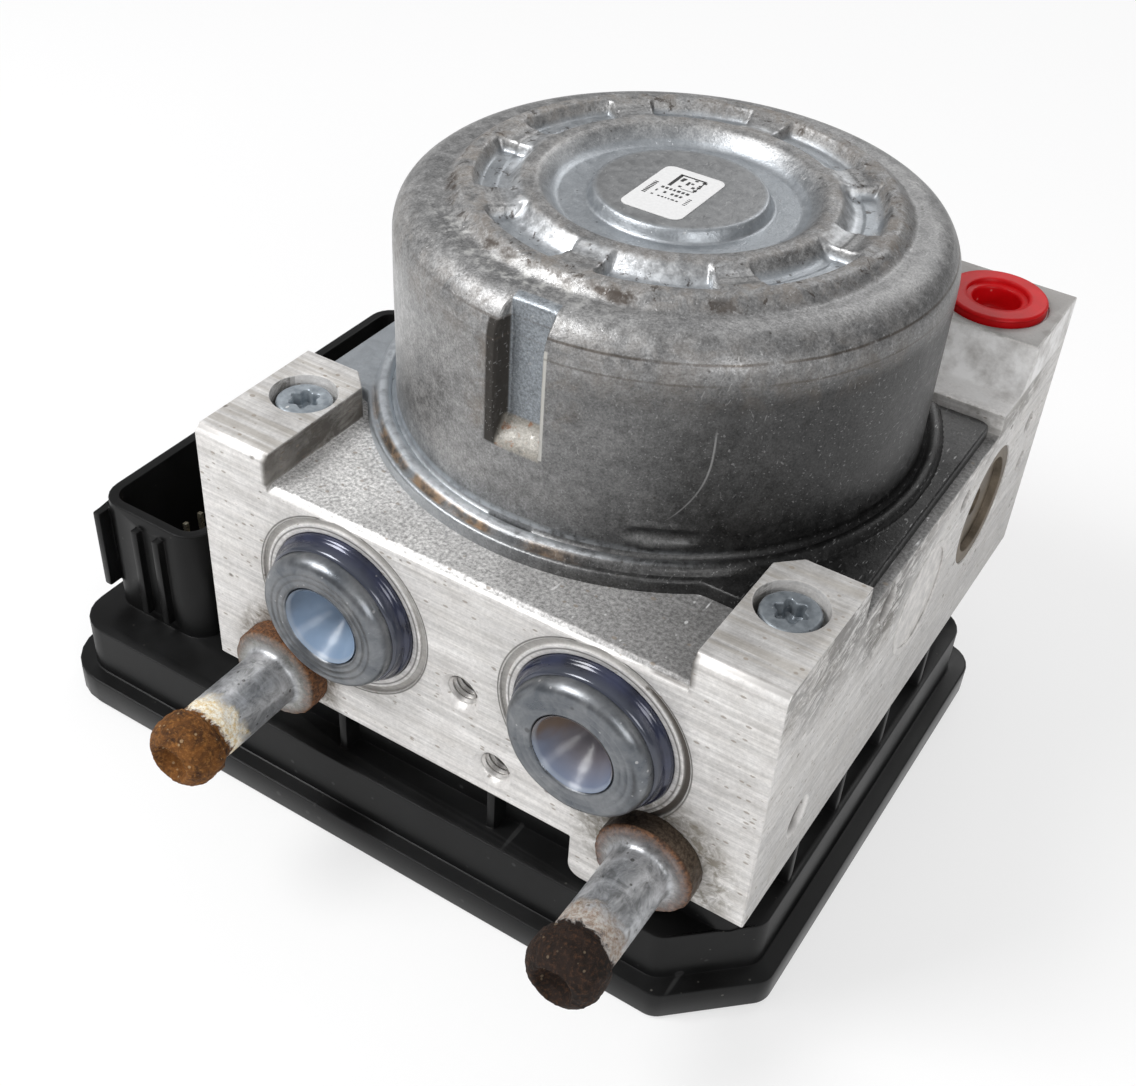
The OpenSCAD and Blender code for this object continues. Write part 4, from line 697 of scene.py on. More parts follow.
# Plain metals and the like: colour, roughness from and to, then what differs from steel_look's defaults
METALS = {
    "magnet_ferrite": (grey(0.055), 0.5, 0.7, {"metal": 0.1}),
    "bearing_steel": (grey(0.55), 0.16, 0.28, {"dark": 0.8}),
    "brush_carbon": (grey(0.03), 0.45, 0.6, {"metal": 0.1}),
    "spring_steel": (grey(0.38, 0.05), 0.25, 0.4, {"dark": 0.7}),
    "plug_brown": ((0.20, 0.165, 0.125), 0.45, 0.62, {}),
    "ball_brown": ((0.12, 0.075, 0.045), 0.5, 0.7, {"size": 0.6}),
    "staked_edge": (grey(0.66, 0.03), 0.3, 0.45, {"dark": 0.6, "size": 0.7}),
    "plug_alloy": (grey(0.42, 0.05), 0.38, 0.55, {"dark": 0.55}),
    "piston_alloy": (grey(0.36, 0.04), 0.35, 0.5, {"dark": 0.8}),
    "valve_metal": ((0.42, 0.39, 0.31), 0.25, 0.4, {"dark": 0.8}),
    "coil_body": (grey(0.05, -0.03), 0.4, 0.55, {"metal": 0.05}),
    "contact_tin": ((0.55, 0.50, 0.38), 0.22, 0.35, {"dark": 0.8}),
    "stud_steel": (grey(0.35, 0.04), 0.35, 0.5, {}),
}
# Per funnel: lower colour, upper colour with painted shade, colour painted deep in the cone as light and
# reflection, and the stain's place; the second funnel's brown is a painted reflection
FUNNELS = {
    "funnel_plastic": ((0.16, 0.225, 0.32), (0.085, 0.11, 0.15), (0.21, 0.275, 0.36), (-24.6, -58.6, 51.6)),
    "funnel_brown_reflection": ((0.125, 0.155, 0.225), (0.105, 0.072, 0.050), (0.150, 0.110, 0.085), (26.6, -59.0, 51.0)),
}
STUDS = {
    "stud_left": dict(side=-1, rust=((0.026, 0.012, 0.006), (0.15, 0.058, 0.013), (0.34, 0.15, 0.036)),
                      chips=(0.42, 0.31, 0.18), pale=((0.78, 0.76, 0.68), (0.62, 0.47, 0.24)), pale_share=0.95,
                      face=((0.16, 0.15, 0.12), (0.27, 0.26, 0.22))),
    "stud_right": dict(side=1, rust=((0.006, 0.004, 0.003), (0.019, 0.011, 0.008), (0.08, 0.037, 0.018)),
                       chips=(0.2, 0.15, 0.1), pale=((0.2, 0.11, 0.05), (0.42, 0.38, 0.33)), pale_share=0.7,
                       face=((0.05, 0.037, 0.028), (0.13, 0.1, 0.075))),
}

looks = [can_look(), block_look(), plastic_look(), cap_look(), band_look(), screw_look(), red_look(), label_look(),
         ink_look(), rubber_look(), laminated_look(), winding_look(), board_look()]
looks += [funnel_look(name, *tones) for name, tones in FUNNELS.items()]
looks += [stud_look(name, **tones) for name, tones in STUDS.items()]
looks += [steel_look(name, *tones, **extra) for name, (*tones, extra) in METALS.items()]
LOOKS = dict(looks)


def dress(obj, look):
    obj.data.materials.clear()
    obj.data.materials.append(LOOKS[look])


def dress_nodes():
    """Every solid takes the look of its record slot."""
    slots = {part["node"]: part["material_slot"] for part in frame["record"]["subparts"]}
    for name, obj in NODES.items():
        dress(obj, slots[name])


dress_nodes()

# Mesh helpers

# Blender's noise starts from the clock unless it is seeded
NOISE_SEED = 1
SIDES = {"left": -1, "right": 1}
RED_PLUG_X = 39.0


def new_piece(name, points, faces, look, replaced, slot, sharp=None):
    """Makes an object from points in millimetres and gives it its look, body and node."""
    mesh = bpy.data.meshes.new(name)
    mesh.from_pydata([tuple(c * MM for c in p) for p in points], [], faces)
    mesh.update()
    obj = bpy.data.objects.new(name, mesh)
    bpy.context.scene.collection.objects.link(obj)
    close_and_smooth(obj, sharp)
    return settle(obj, look, replaced)


def close_and_smooth(obj, sharp=None):
    """Merges doubled points, turns faces outwards, and smooths all but edges over `sharp` degrees."""
    bm = bmesh.new()
    bm.from_mesh(obj.data)
    bmesh.ops.remove_doubles(bm, verts=bm.verts, dist=1e-6)
    bmesh.ops.recalc_face_normals(bm, faces=bm.faces)
    bm.to_mesh(obj.data)
    bm.free()
    obj.data.polygons.foreach_set("use_smooth", [True] * len(obj.data.polygons))
    if sharp:
        obj.data.set_sharp_from_angle(angle=math.radians(sharp))


def settle(obj, look, replaced):
    """Look, the nodes it stands for, and the body: everything dressed here is fixed to the module."""
    dress(obj, look)
    if replaced:
        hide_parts(*replaced)
    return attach(obj, "module")


def arc(centre, radius, start, end, steps):
    """Points of an arc in the (r, z) half plane, angles in degrees."""
    return [(centre[0] + radius * math.cos(math.radians(a)), centre[1] + radius * math.sin(math.radians(a)))
            for a in np.linspace(start, end, steps + 1)]


def refined(profile, step):
    """The profile with extra points, so that no stretch is longer than `step`."""
    out = [profile[0]]
    for a, b in zip(profile, profile[1:]):
        n = max(1, math.ceil(math.dist(a, b) / step))
        out += [(a[0] + (b[0] - a[0]) * i / n, a[1] + (b[1] - a[1]) * i / n) for i in range(1, n + 1)]
    return out


def ring_faces(rows, n, loop=False, ends=True):
    """Faces between rows of n points: closed on themselves as a loop, or by a face at each end."""
    last = rows if loop else rows - 1
    faces = [(k * n + i, k * n + (i + 1) % n, (k + 1) % rows * n + (i + 1) % n, (k + 1) % rows * n + i)
             for k in range(last) for i in range(n)]
    if ends and not loop:
        faces += [tuple(range(n)), tuple(range((rows - 1) * n, rows * n))]
    return faces


def ring_points(radii, z):
    """Points round +Z at evenly spaced angles, one for each radius."""
    n = len(radii)
    return [(r * math.cos(2 * math.pi * i / n), r * math.sin(2 * math.pi * i / n), z) for i, r in enumerate(radii)]


def lathe_points(profile, turns, loop=False):
    """Rings of points round +Z for each (r, z) of the profile, and the faces between them."""
    points = [point for r, z in profile for point in ring_points([r] * turns, z)]
    return points, ring_faces(len(profile), turns, loop)


noise.seed_set(NOISE_SEED)


def rough_up(points, amount, size, seed, weight=None):
    """Pushes points in and out by smooth noise, for cast and rusted surfaces."""
    out = []
    for p in points:
        push = amount * (1.0 if weight is None else weight(p))
        shift = noise.noise_vector(Vector(p) / size + Vector((seed, seed * 2, 0)))
        shift += 0.5 * noise.noise_vector(Vector(p) * 2.3 / size + Vector((0, seed, seed)))
        out.append(tuple(c + push * s for c, s in zip(p, shift)))
    return out


def smoothstep(value, low, high):
    t = np.clip((np.asarray(value, float) - low) / (high - low), 0, 1)
    return t * t * (3 - 2 * t)


# Motor can

POCKETS = 8
POCKET_HALF = math.radians(16)


def top_height(r, angle):
    """Height of the pressed top at a radius and angle: hub, dish, two ridges, pockets, rim."""
    hub = smoothstep(r, 14.3, 13.0)
    dish = DISH_Z + (HUB_Z - DISH_Z) * hub
    inner_up = smoothstep(r, 18.2, 21.8)
    crown = CREST_Z - 0.25 * smoothstep(np.abs(r - 22.8), 0.4, 2.6)
    z = dish + (crown - dish) * inner_up
    # The ring falls away outside its outer ridge to the plain rim
    foot = smoothstep(r, 35.4, 32.4)
    outer = RIM_Z + (CREST_Z - 0.1 - RIM_Z) * foot
    z = np.where(r > 27.3, outer, z)
    # Pockets between the two ridges, with bridges between them
    pitch = 2 * math.pi / POCKETS
    turn = np.mod(angle, pitch) - pitch / 2
    ends = smoothstep(np.abs(turn) * r, r * POCKET_HALF + 0.45, r * POCKET_HALF - 0.6)
    across = smoothstep(r, 23.4, 26.4) * smoothstep(r, 31.2, 29.6)
    depth = 2.2 * ends * across
    bridge = 0.45 * (1 - ends) * smoothstep(r, 24.2, 26) * smoothstep(r, 30.6, 28.6)
    return z - depth - bridge


def ring_angles(start, stop):
    """Angles round the can in radians, closer together at the pockets' ends."""
    pitch, half = 360 / POCKETS, math.degrees(POCKET_HALF)
    out, at = [], start
    while at < stop - 0.2:
        out.append(at)
        turn = at % pitch - pitch / 2
        at += 0.45 if abs(abs(turn) - half) < 2.2 else 1.35
    return np.radians(out)


def groove_floor(z):
    """Depth of the pressed groove's floor as a y value: straight, then a sloped seat at its foot."""
    run = smoothstep(z, 81.2, 86.4)
    return -43.2 + (43.2 - 39.5) * run


def motor_shell():
    """The drawn can as one smooth surface, from the hub to its foot on the flange."""
    radii = np.concatenate([np.linspace(0.05, 12.2, 9), np.linspace(12.5, 15.2, 14), np.linspace(15.6, 22.2, 24),
                            np.linspace(22.5, 31.4, 40), np.linspace(31.7, 36.5, 28)])
    ring = [(r, None) for r in radii]
    shoulder = arc((CAN_R - SHOULDER_R, RIM_Z - SHOULDER_R), SHOULDER_R, 88, 0, 26)
    side = [(CAN_R, z) for z in np.linspace(RIM_Z - SHOULDER_R - 0.4, 72.0, 50)]
    foot = arc((CAN_R + 1.6, FLANGE_Z + 1.75), 1.6, 180, 250, 7)
    profile = ring + shoulder + side + foot
    fine = np.radians(np.arange(-90 - 13, -90 + 13, 0.28))
    angles = np.concatenate([fine, ring_angles(-90 + 13, 270 - 13)])
    points = []
    for r, z in profile:
        rr = np.full_like(angles, r)
        zz = top_height(rr, angles) if z is None else np.full_like(angles, z)
        x, y = rr * np.cos(angles), rr * np.sin(angles)
        # Slight unevenness of the pressing
        swell = 0.10 * np.sin(3 * angles + 0.7) * np.sin(zz / 9) + 0.05 * np.sin(7 * angles + zz / 5)
        if z is not None and r > 41:
            x, y = x + swell * np.cos(angles), y + swell * np.sin(angles)
        if r > 34:
            left = np.interp(x, [-5.7, -4.7, -3.5], [0, 0.30, 1.0])
            right = np.interp(x, [3.4, 3.9], [1.0, 0.0])
            inside = smoothstep(np.minimum(left, right), 0.0, 1.0)
            bottom = groove_floor(zz)
            wall = -48 + (bottom + 48) * inside
            k = 0.35
            mixed = np.maximum(y, wall) + k * np.exp(-np.abs(y - wall) / k) * 0.5
            inner = (y < 0) & (inside > 0)
            y = np.where(inner, mixed, y)
        mark = stamp_depth(angles, zz) if z is not None and r > 42 else 0
        x, y = x - mark * np.cos(angles), y - mark * np.sin(angles)
        points += list(zip(x, y, zz))
    n = len(angles)
    faces = ring_faces(len(profile), n, ends=False) + [tuple(range(n))]
    return new_piece("motor_shell", points, faces, "motor_steel", ["motor_can"], "motor_steel")


def stamp_depth(angles, z):
    """Depth of the small long stamp low on the can, at 60 degrees to the right of the groove's axis."""
    along = (angles - math.radians(-60)) * CAN_R
    across = z - 73.6
    reach = np.hypot(np.maximum(np.abs(along) - 3.7, 0), across)
    return 0.55 * smoothstep(reach, 1.25, 0.7) - 0.18 * smoothstep(np.abs(reach - 1.6), 0.5, 0.0)


def flange_reach(angle):
    """Distance from the axis to the flange's outline: the farthest of square, lobe and ear."""
    c, s = math.cos(angle), math.sin(angle)
    across = 48.2 / max(abs(c), 1e-9)
    square = min(across, 25.2 / max(s, 1e-9) if s > 0 else 27.8 / max(-s, 1e-9))
    round_part = 43.4 if s > 0 else CAN_R + 4.6
    ear = min(35.6 / c, 37.9 / -s) if c > 1e-3 and s < -1e-3 else 0
    return max(square, round_part, ear)


def motor_flange():
    """Mounting flange with the bead pressed round the can's foot."""
    angles = np.radians(np.arange(-180, 180, 0.5))
    reach = np.array([flange_reach(a) for a in angles])
    width = 5
    kernel = np.ones(width) / width
    reach = np.convolve(np.concatenate([reach[-width:], reach, reach[:width]]), kernel, "same")[width:-width]
    degrees = np.degrees(angles)
    present = np.maximum(smoothstep(degrees, 34, 31), smoothstep(degrees, 145, 148))
    bead_middle, bead_r = CAN_R + 2.0, 1.4
    rows = [(reach - 4, FLOOR_Z + 0.02), (reach, FLOOR_Z + 0.02), (reach, FLANGE_Z - 0.6),
            (reach - 0.1, FLANGE_Z - 0.25), (reach - 0.3, FLANGE_Z - 0.05), (reach - 0.5, FLANGE_Z)]
    rows = [(r, np.full_like(angles, z)) for r, z in rows]
    for share in np.linspace(0, 1, 34):
        r = (reach - 0.6) * (1 - share) + (CAN_R - 0.3) * share
        hump = np.sqrt(np.clip(bead_r ** 2 - (r - bead_middle) ** 2, 0, None)) - 0.12
        wave = 0.05 * np.sin(5 * angles + 1.0) + 0.04 * np.sin(13 * angles)
        rows.append((r, FLANGE_Z + np.clip(hump, 0, None) * (present + wave * (hump > 0.3))))
    points = [(r[i] * math.cos(a), r[i] * math.sin(a), z[i]) for r, z in rows for i, a in enumerate(angles)]
    faces = ring_faces(len(rows), len(angles), ends=False)
    return new_piece("motor_flange", points, faces, "motor_steel", ["motor_can"], "motor_steel", 40)


motor_shell()
motor_flange()

# Pieces cut from the solids, with rounded edges


def rounded_copy(node, name, look, width):
    """A copy of a solid with its flat faces merged and its sharp edges broken by a small bevel."""
    mesh = NODES[node].data.copy()
    obj = bpy.data.objects.new(name, mesh)
    bpy.context.scene.collection.objects.link(obj)
    bm = bmesh.new()
    bm.from_mesh(mesh)
    bmesh.ops.remove_doubles(bm, verts=bm.verts, dist=2e-6)
    bmesh.ops.dissolve_limit(bm, angle_limit=math.radians(0.6), verts=bm.verts, edges=bm.edges)
    bm.to_mesh(mesh)
    bm.free()
    bevel = obj.modifiers.new("edges", "BEVEL")
    bevel.width = width * MM
    bevel.segments = 2
    bevel.limit_method = "ANGLE"
    bevel.angle_limit = math.radians(32)
    bevel.use_clamp_overlap = False
    bevel.miter_outer = "MITER_ARC"
    apply_modifiers(obj)
    obj.data.polygons.foreach_set("use_smooth", [True] * len(obj.data.polygons))
    obj.data.set_sharp_from_angle(angle=math.radians(28))
    return settle(obj, look, [node])


def apply_modifiers(obj):
    graph = bpy.context.evaluated_depsgraph_get()
    solid = bpy.data.meshes.new_from_object(obj.evaluated_get(graph))
    obj.modifiers.clear()
    obj.data = solid


rounded_copy("valve_block", "block_body", "block_aluminium", 0.22)
rounded_copy("unit_housing", "unit_shell", "black_plastic", 0.35)

# Turned pieces: studs, plugs, screws, bands, funnels

WAYS = {
    "front": lambda x, y, z: (x, -z, y),
    "rear": lambda x, y, z: (x, z, y),
    "right": lambda x, y, z: (z, x, y),
    "left": lambda x, y, z: (-z, x, y),
    "up": lambda x, y, z: (x, y, z),
}


def moved(points, way, place):
    """Turns +Z to face one way and moves the origin to a place."""
    return [tuple(a + b for a, b in zip(WAYS[way](*p), place)) for p in points]


def joined(parts):
    """One list of points and one of faces from several."""
    points, faces = [], []
    for more_points, more_faces in parts:
        faces += [tuple(i + len(points) for i in face) for face in more_faces]
        points += list(more_points)
    return points, faces


# Outlines (r, z) in millimetres: a steel cap with a rolled rim and faint rings on its face
CAP_PROFILE = ([(7.4, -2.4), (11.75, -2.4), (11.85, -1.2), (11.3, 0.2), (11.5, 0.9), (11.8, 1.6), (11.8, 3.4)]
               + arc((9.7, 3.5), 2.1, 0, 90, 12)
               + [(9.4, 5.6), (9.25, 5.52), (9.05, 5.58), (8.3, 5.6), (8.15, 5.52), (7.95, 5.58), (7.2, 5.6),
                  (7.0, 5.52), (6.75, 5.1), (6.7, 4.6)])
# The moulded band between the cap and the block
BAND_PROFILE = [(11.95, -2.4), (13.3, -2.4), (13.3, 0.2), (13.22, 0.55), (13.0, 0.8), (12.75, 1.0), (12.62, 1.3),
                (12.5, 1.9), (12.3, 2.5), (12.05, 2.85), (11.84, 2.9), (11.82, 1.6), (11.9, -1.0)]
# The moulded cone in the middle of the cap, with a small hole at its bottom
FUNNEL_PROFILE = [(6.65, 5.45), (6.3, 5.0), (5.9, 4.2), (5.3, 3.0), (4.3, 1.4), (3.0, -0.2), (1.8, -1.4),
                  (1.0, -2.2), (0.9, -2.9), (0.02, -2.9), (0.02, -3.6), (1.7, -3.6), (2.6, -2.6), (4.4, -0.8),
                  (5.8, 1.6), (6.65, 3.6)]


def reservoir_part(kind, node, word, profile, step, turns, look, slot, sharp, uneven=None):
    """A turned piece in the mouth of a reservoir. `uneven` holds amount, size and seed of its unevenness."""
    side = SIDES[word]
    points, faces = lathe_points(refined(profile, step), turns, loop=True)
    if uneven:
        amount, size, seed = uneven
        points = rough_up(points, amount, size, seed + side)
    points = moved(points, "front", (side * CAP_X, FRONT_Y, CAP_Z))
    new_piece(f"{kind}_{word}", points, faces, look, [f"{node}_{word}"], slot, sharp)


def mounting_stud(word):
    """Flanged stud: corroded flange, plain shank, barrel head with a round recess."""
    profile = ([(0.02, 0.02), (8.0, 0.02), (8.1, 0.4), (8.1, 3.3), (7.8, 3.75), (7.2, 4.0), (6.2, 4.0)]
               + arc((6.2, 5.2), 1.2, 270, 180, 5)
               + [(5.0, 20.7), (5.35, 21.0), (5.8, 21.5), (5.9, 22.4), (5.9, 23.6)]
               + arc((2.5, 24.2), 3.4, 10, 62, 9)
               + [(3.7, 27.45), (3.4, 27.5), (3.1, 27.3), (2.7, 26.4), (2.3, 25.6), (1.2, 25.2), (0.02, 25.1)])
    side = SIDES[word]
    points, faces = lathe_points(refined(profile, 0.25), 144)

    def crust(p):
        """Rust raises the head and the flange's edge, and hardly touches the shank."""
        head = smoothstep(p[2], 19.6, 21.2)
        edge = smoothstep(math.hypot(p[0], p[1]), 6.6, 7.8)
        return float(0.12 + 0.88 * max(head, 0.8 * edge))

    points = moved(rough_up(points, 0.16, 1.1, 21 + side, crust), "front", (side * STUD_X, FRONT_Y, STUD_Z))
    new_piece("stud_" + word, points, faces, "stud_" + word, ["mounting_stud_" + word], "stud_steel", 55)


def unit_screw(word):
    """Pan head with a chamfered rim and a six-lobe socket, on a plain shank."""
    turns, side = 144, SIDES[word]
    points = []
    for radius, z in ((0.02, 15.6), (2.1, 15.6), (2.5, 16.1), (2.5, 67.6), (4.45, 67.6), (4.45, 71.35),
                      (4.38, 71.55), (4.1, 71.78), (3.9, 71.8), (3.0, 71.82)):
        points += ring_points([radius] * turns, z)
    lobes = [2.15 + 0.35 * math.cos(6 * (2 * math.pi * i / turns)) for i in range(turns)]
    for grow, z in ((1.10, 71.8), (1.03, 71.68), (1.0, 71.4), (0.98, 69.5), (0.8, 69.2), (0.01, 69.1)):
        points += ring_points([lobe * grow for lobe in lobes], z)
    faces = ring_faces(len(points) // turns, turns)
    points = moved(rough_up(points, 0.03, 1.5, 31 + side), "up", (side * SCREW_X, SCREW_Y, 0))
    new_piece("screw_" + word, points, faces, "screw_zinc", ["unit_screw_" + word], "screw_zinc", 35)


def port_plugs():
    """Shipping plugs, each a flange with a rounded rim and a stepped hollow: two in the rib, four behind."""
    profile = ([(0.02, -10.1), (4.4, -10.1), (5.4, -9.1), (5.4, -0.6), (8.5, -0.6), (8.6, -0.45), (8.6, 0.9)]
               + arc((8.0, 0.8), 0.6, 0, 90, 6)
               + [(5.4, 1.4), (5.3, 1.3), (5.2, 0.7), (5.0, 0.62), (4.45, 0.6), (4.2, 0.45), (4.1, 0.1),
                  (4.0, -2.9), (3.7, -3.3), (0.02, -3.5)])
    points, faces = lathe_points(refined(profile, 0.7), 96)
    for word, side in SIDES.items():
        new_piece("red_plug_" + word, moved(points, "up", (side * RED_PLUG_X, 46.15, 79.2)), faces, "plug_red",
                  ["port_plug_top_" + word], "plug_red", 50)
    four = joined([(moved(points, "rear", (x, 56.4, 55.0)), faces) for x in (-RED_PLUG_X, -13, 13, RED_PLUG_X)])
    new_piece("red_plugs_rear", *four, "plug_red", ["port_plugs_rear"], "plug_red", 50)


for word in SIDES:
    reservoir_part("cap", "reservoir_cap", word, CAP_PROFILE, 0.6, 120, "cap_steel", "cap_steel", 55,
                   (0.05, 4.0, 3))
    reservoir_part("band", "reservoir_band", word, BAND_PROFILE, 0.6, 96, "band_indigo", "band_indigo", 50,
                   (0.03, 5.0, 11))
    mounting_stud(word)
    unit_screw(word)
for word, look in (("left", "funnel_plastic"), ("right", "funnel_brown_reflection")):
    reservoir_part("funnel", "vent_funnel", word, FUNNEL_PROFILE, 0.5, 96, look, "funnel_plastic", 60)
port_plugs()
for word in SIDES:
    rounded_copy("pump_plug_" + word, "pump_plug_face_" + word, "plug_alloy", 0.15)
    rounded_copy("damper_plug_" + word, "damper_plug_face_" + word, "plug_brown", 0.15)
rounded_copy("unit_lid", "unit_lid_plate", "black_plastic", 0.3)

# Springs, copied from their solids


def coil(node, name, axis, fixed_end, travel):
    """A spring on the module, copied from its solid and smoothed; the axis, fixed end and travel do not change its
    shape.
    """
    obj = bpy.data.objects.new(name, NODES[node].data.copy())
    bpy.context.scene.collection.objects.link(obj)
    obj.data.polygons.foreach_set("use_smooth", [True] * len(obj.data.polygons))
    obj.data.set_sharp_from_angle(angle=math.radians(60))
    settle(obj, "spring_steel", [node])
    along = [vertex.co.dot(Vector(axis)) / MM for vertex in obj.data.vertices]
    length = max(abs(value - fixed_end) for value in along)
    1 - travel / length
    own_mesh(obj)


RESERVOIR_TRAVEL, PUMP_TRAVEL = 8.0, 1.1
for word, side in SIDES.items():
    coil(f"reservoir_spring_{word}", f"reservoir_coil_{word}", (0, 1, 0), -48.3,
         RESERVOIR_TRAVEL)
    coil(f"pump_spring_{word}", f"pump_coil_{word}", (1, 0, 0), side * 43.8,
         PUMP_TRAVEL)

# Threads of the bracket holes, and metal staked over the pump plugs


def thread(depth, crest=2.2, root=2.62, pitch=1.0, steps=40):
    """One helical ridge inside a hole that runs to -Z from the face."""
    points, faces = [], []
    count = int(steps * depth / pitch)
    for i in range(count + 1):
        angle = 2 * math.pi * i / steps
        z = -1.0 - pitch * i / steps
        fade = min(1.0, i / (0.5 * steps), (count - i) / (0.5 * steps))
        inner = root + (crest - root) * fade
        for r, dz in ((root, 0.46), (inner, 0.08), (inner, -0.08), (root, -0.46)):
            points.append((r * math.cos(angle), r * math.sin(angle), z + dz))
    for i in range(count):
        for k in range(3):
            a, b = 4 * i + k, 4 * (i + 1) + k
            faces.append((a, b, b + 1, a + 1))
    return points, faces


def hole_threads():
    parts = []
    for x, z in BRACKET_HOLES:
        points, faces = thread(6.5)
        parts.append((moved(points, "front", (x, FRONT_Y, z)), faces))
    points, faces = thread(SIDE_THREAD_DEPTH - 1.6)
    parts.append((moved(points, "right", (BLOCK_X, *SIDE_THREAD)), faces))
    new_piece("bracket_threads", *joined(parts), "staked_edge", None, "block_aluminium", 30)


def staking():
    """Bright rolled edge of the block round each pump plug."""
    profile = [(8.75, -0.5), (8.8, -0.1), (9.05, 0.08), (9.5, 0.12), (9.95, 0.05), (10.0, -0.2)]
    points, faces = lathe_points(refined(profile, 0.2), 120)
    points = rough_up(points, 0.05, 1.2, 41)
    both = joined([(moved(points, way, (side * BLOCK_X, 0, 50.5)), faces)
                   for way, side in (("right", 1), ("left", -1))])
    new_piece("plug_staking", *both, "staked_edge", None, "block_aluminium", 40)


hole_threads()
staking()

# Label with plain marks

LABEL_CORNER = (-5.2, -9.9)
LABEL_SIZE = (10.2, 15.4)
LABEL_Z = HUB_Z


def label_sheet():
    """Film with rounded corners, its edge lifted a hair."""
    corner = 1.5
    w, h = LABEL_SIZE
    outline = []
    for cx, cy, start in ((w - corner, corner, -90), (w - corner, h - corner, 0), (corner, h - corner, 90),
                          (corner, corner, 180)):
        outline += arc((cx, cy), corner, start, start + 90, 8)
    n = len(outline)
    middle = (w / 2, h / 2)
    points, rows = [], ((1.0, 0.02), (1.0, 0.13), (0.985, 0.16), (0.93, 0.145), (0.6, 0.145))
    for share, z in rows:
        points += [(middle[0] + (u - middle[0]) * share, middle[1] + (v - middle[1]) * share, z)
                   for u, v in outline]
    faces = ring_faces(len(rows), n)
    new_piece("label_sheet", moved(points, "up", (*LABEL_CORNER, LABEL_Z)), faces, "label_paper",
              ["motor_label"], "label_paper", 50)


def label_marks():
    """Generic print: a square frame with a few blocks, and rows of short dashes."""
    rng = np.random.default_rng(7)
    boxes = [(3.2, 9.2, 3.75, 13.6), (3.2, 13.25, 7.6, 13.6), (7.45, 9.2, 7.6, 13.6), (5.4, 9.2, 7.6, 9.32)]
    for u in np.arange(4.1, 7.2, 0.62):
        for v in np.arange(9.6, 13.1, 0.62):
            if rng.random() < 0.42:
                boxes.append((u, v, u + 0.4 + 0.3 * rng.random(), v + 0.4 + 0.25 * rng.random()))
    for v, start, end, tall in ((7.9, 2.8, 7.4, 0.62), (6.5, 2.6, 7.0, 0.62), (5.1, 2.6, 6.9, 0.36)):
        u = start
        while u < end:
            wide = 0.22 + 0.3 * rng.random()
            if rng.random() < 0.85:
                boxes.append((u, v, u + wide, v + tall))
            u += wide + 0.28
    for v in np.arange(5.0, 9.2, 0.5):
        boxes.append((1.1, v, 1.75, v + 0.28))
        if v < 7.4:
            boxes.append((8.1, v - 0.2, 8.6, v))
    points, faces = [], []
    for u0, v0, u1, v1 in boxes:
        start = len(points)
        points += [(u0, v0, 0.15), (u1, v0, 0.15), (u1, v1, 0.15), (u0, v1, 0.15),
                   (u0, v0, 0.175), (u1, v0, 0.175), (u1, v1, 0.175), (u0, v1, 0.175)]
        faces += [tuple(start + i for i in face) for face in (
            (0, 3, 2, 1), (4, 5, 6, 7), (0, 1, 5, 4), (1, 2, 6, 5), (2, 3, 7, 6), (3, 0, 4, 7))]
    new_piece("label_print", moved(points, "up", (*LABEL_CORNER, LABEL_Z)), faces, "label_ink", None,
              "label_paper", 30)


label_sheet()
label_marks()
dress(NODES["gallery_balls"], "ball_brown")

# Floor and light

FLOOR_REACH = 6.0
FLOOR_TONE = 0.90
# Share of plain white in the floor as the camera and reflections see it
GLOW_SHARE = 0.62
SKY_LOW, SKY_HIGH = (0.30, 0.30, 0.305, 1), (0.78, 0.78, 0.78, 1)
SKY_LEVELS = ((0.35, 0.32), (0.62, 0.47), (0.82, 0.76))
SKY_STRENGTH = (1.08, 0.475)
LIGHT_TARGET = (0, 0, 0.06)
# Place, size of the panel and power in watts
LIGHTS = {
    "key": ((-0.42, -0.42, 0.72), (0.35, 0.35), 6.0),
    "fill": ((0.60, -0.45, 0.40), (0.4, 0.3), 1.9),
    "back": ((0.05, 0.75, 0.60), (0.6, 0.3), 1.6),
}

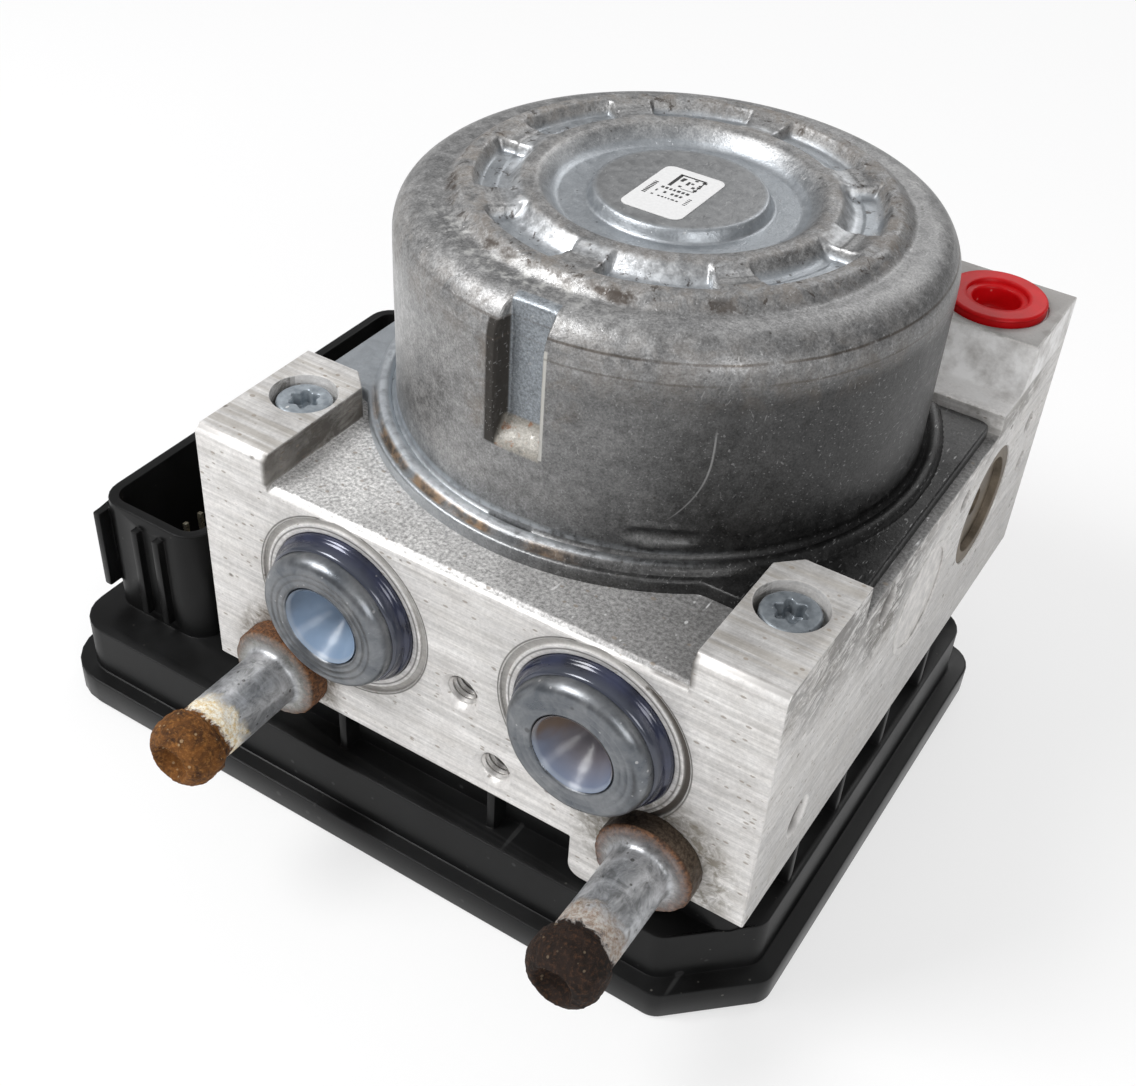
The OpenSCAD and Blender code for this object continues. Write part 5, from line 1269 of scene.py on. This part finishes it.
def make_stage():
    """White floor that is plain white to the camera and keeps the object's shadow."""
    mesh = bpy.data.meshes.new("floor")
    r = FLOOR_REACH
    mesh.from_pydata([(-r, -r, 0), (r, -r, 0), (r, r, 0), (-r, r, 0)], [], [(0, 1, 2, 3)])
    floor = bpy.data.objects.new("floor", mesh)
    bpy.context.scene.collection.objects.link(floor)
    material = bpy.data.materials.new("floor")
    material.use_nodes = True
    nodes = Nodes(material.node_tree)
    ray = {kind: Value(nodes, out) for kind, out in nodes.add("ShaderNodeLightPath").outputs.items()}
    seen = ray["Is Camera Ray"] | ray["Is Glossy Ray"] | ray["Is Transmission Ray"]
    plain = nodes.made("ShaderNodeBsdfDiffuse", {"Color": (*grey(FLOOR_TONE), 1)})
    glow = nodes.made("ShaderNodeEmission", {})
    surface = nodes.made("ShaderNodeMixShader", {0: seen * GLOW_SHARE, 1: plain, 2: glow})
    nodes.put(nodes.add("ShaderNodeOutputMaterial").inputs[0], surface)
    mesh.materials.append(material)


def make_world():
    """Grey surroundings, lighter overhead and on the left."""
    world = bpy.data.worlds.new("world")
    bpy.context.scene.world = world
    world.use_nodes = True
    nodes = Nodes(world.node_tree)
    x, y, z = nodes.xyz(Value(nodes, nodes.add("ShaderNodeTexCoord").outputs["Generated"]))
    ramp = nodes.add("ShaderNodeValToRGB")
    nodes.put(ramp.inputs[0], z)
    stops = ramp.color_ramp.elements
    stops[0].color, stops[1].color = SKY_LOW, SKY_HIGH
    for place, level in SKY_LEVELS:
        stops.new(place).color = (level, level, level * 1.01, 1)
    strength = x.span(-1.0, 1.0, *SKY_STRENGTH)
    sky = nodes.made("ShaderNodeBackground", {"Color": Value(nodes, ramp.outputs[0]), "Strength": strength})
    nodes.put(nodes.add("ShaderNodeOutputWorld").inputs[0], sky)


def area_light(name, place, size, power):
    data = bpy.data.lights.new(name, "AREA")
    data.shape = "RECTANGLE"
    data.size, data.size_y = size
    data.energy = power
    light = bpy.data.objects.new(name, data)
    bpy.context.scene.collection.objects.link(light)
    light.location = place
    light.rotation_euler = (Vector(LIGHT_TARGET) - Vector(place)).to_track_quat("-Z", "Y").to_euler()


make_stage()
make_world()
for name, (place, size, power) in LIGHTS.items():
    area_light(name, place, size, power)

bpy.context.scene.view_settings.view_transform = "Standard"
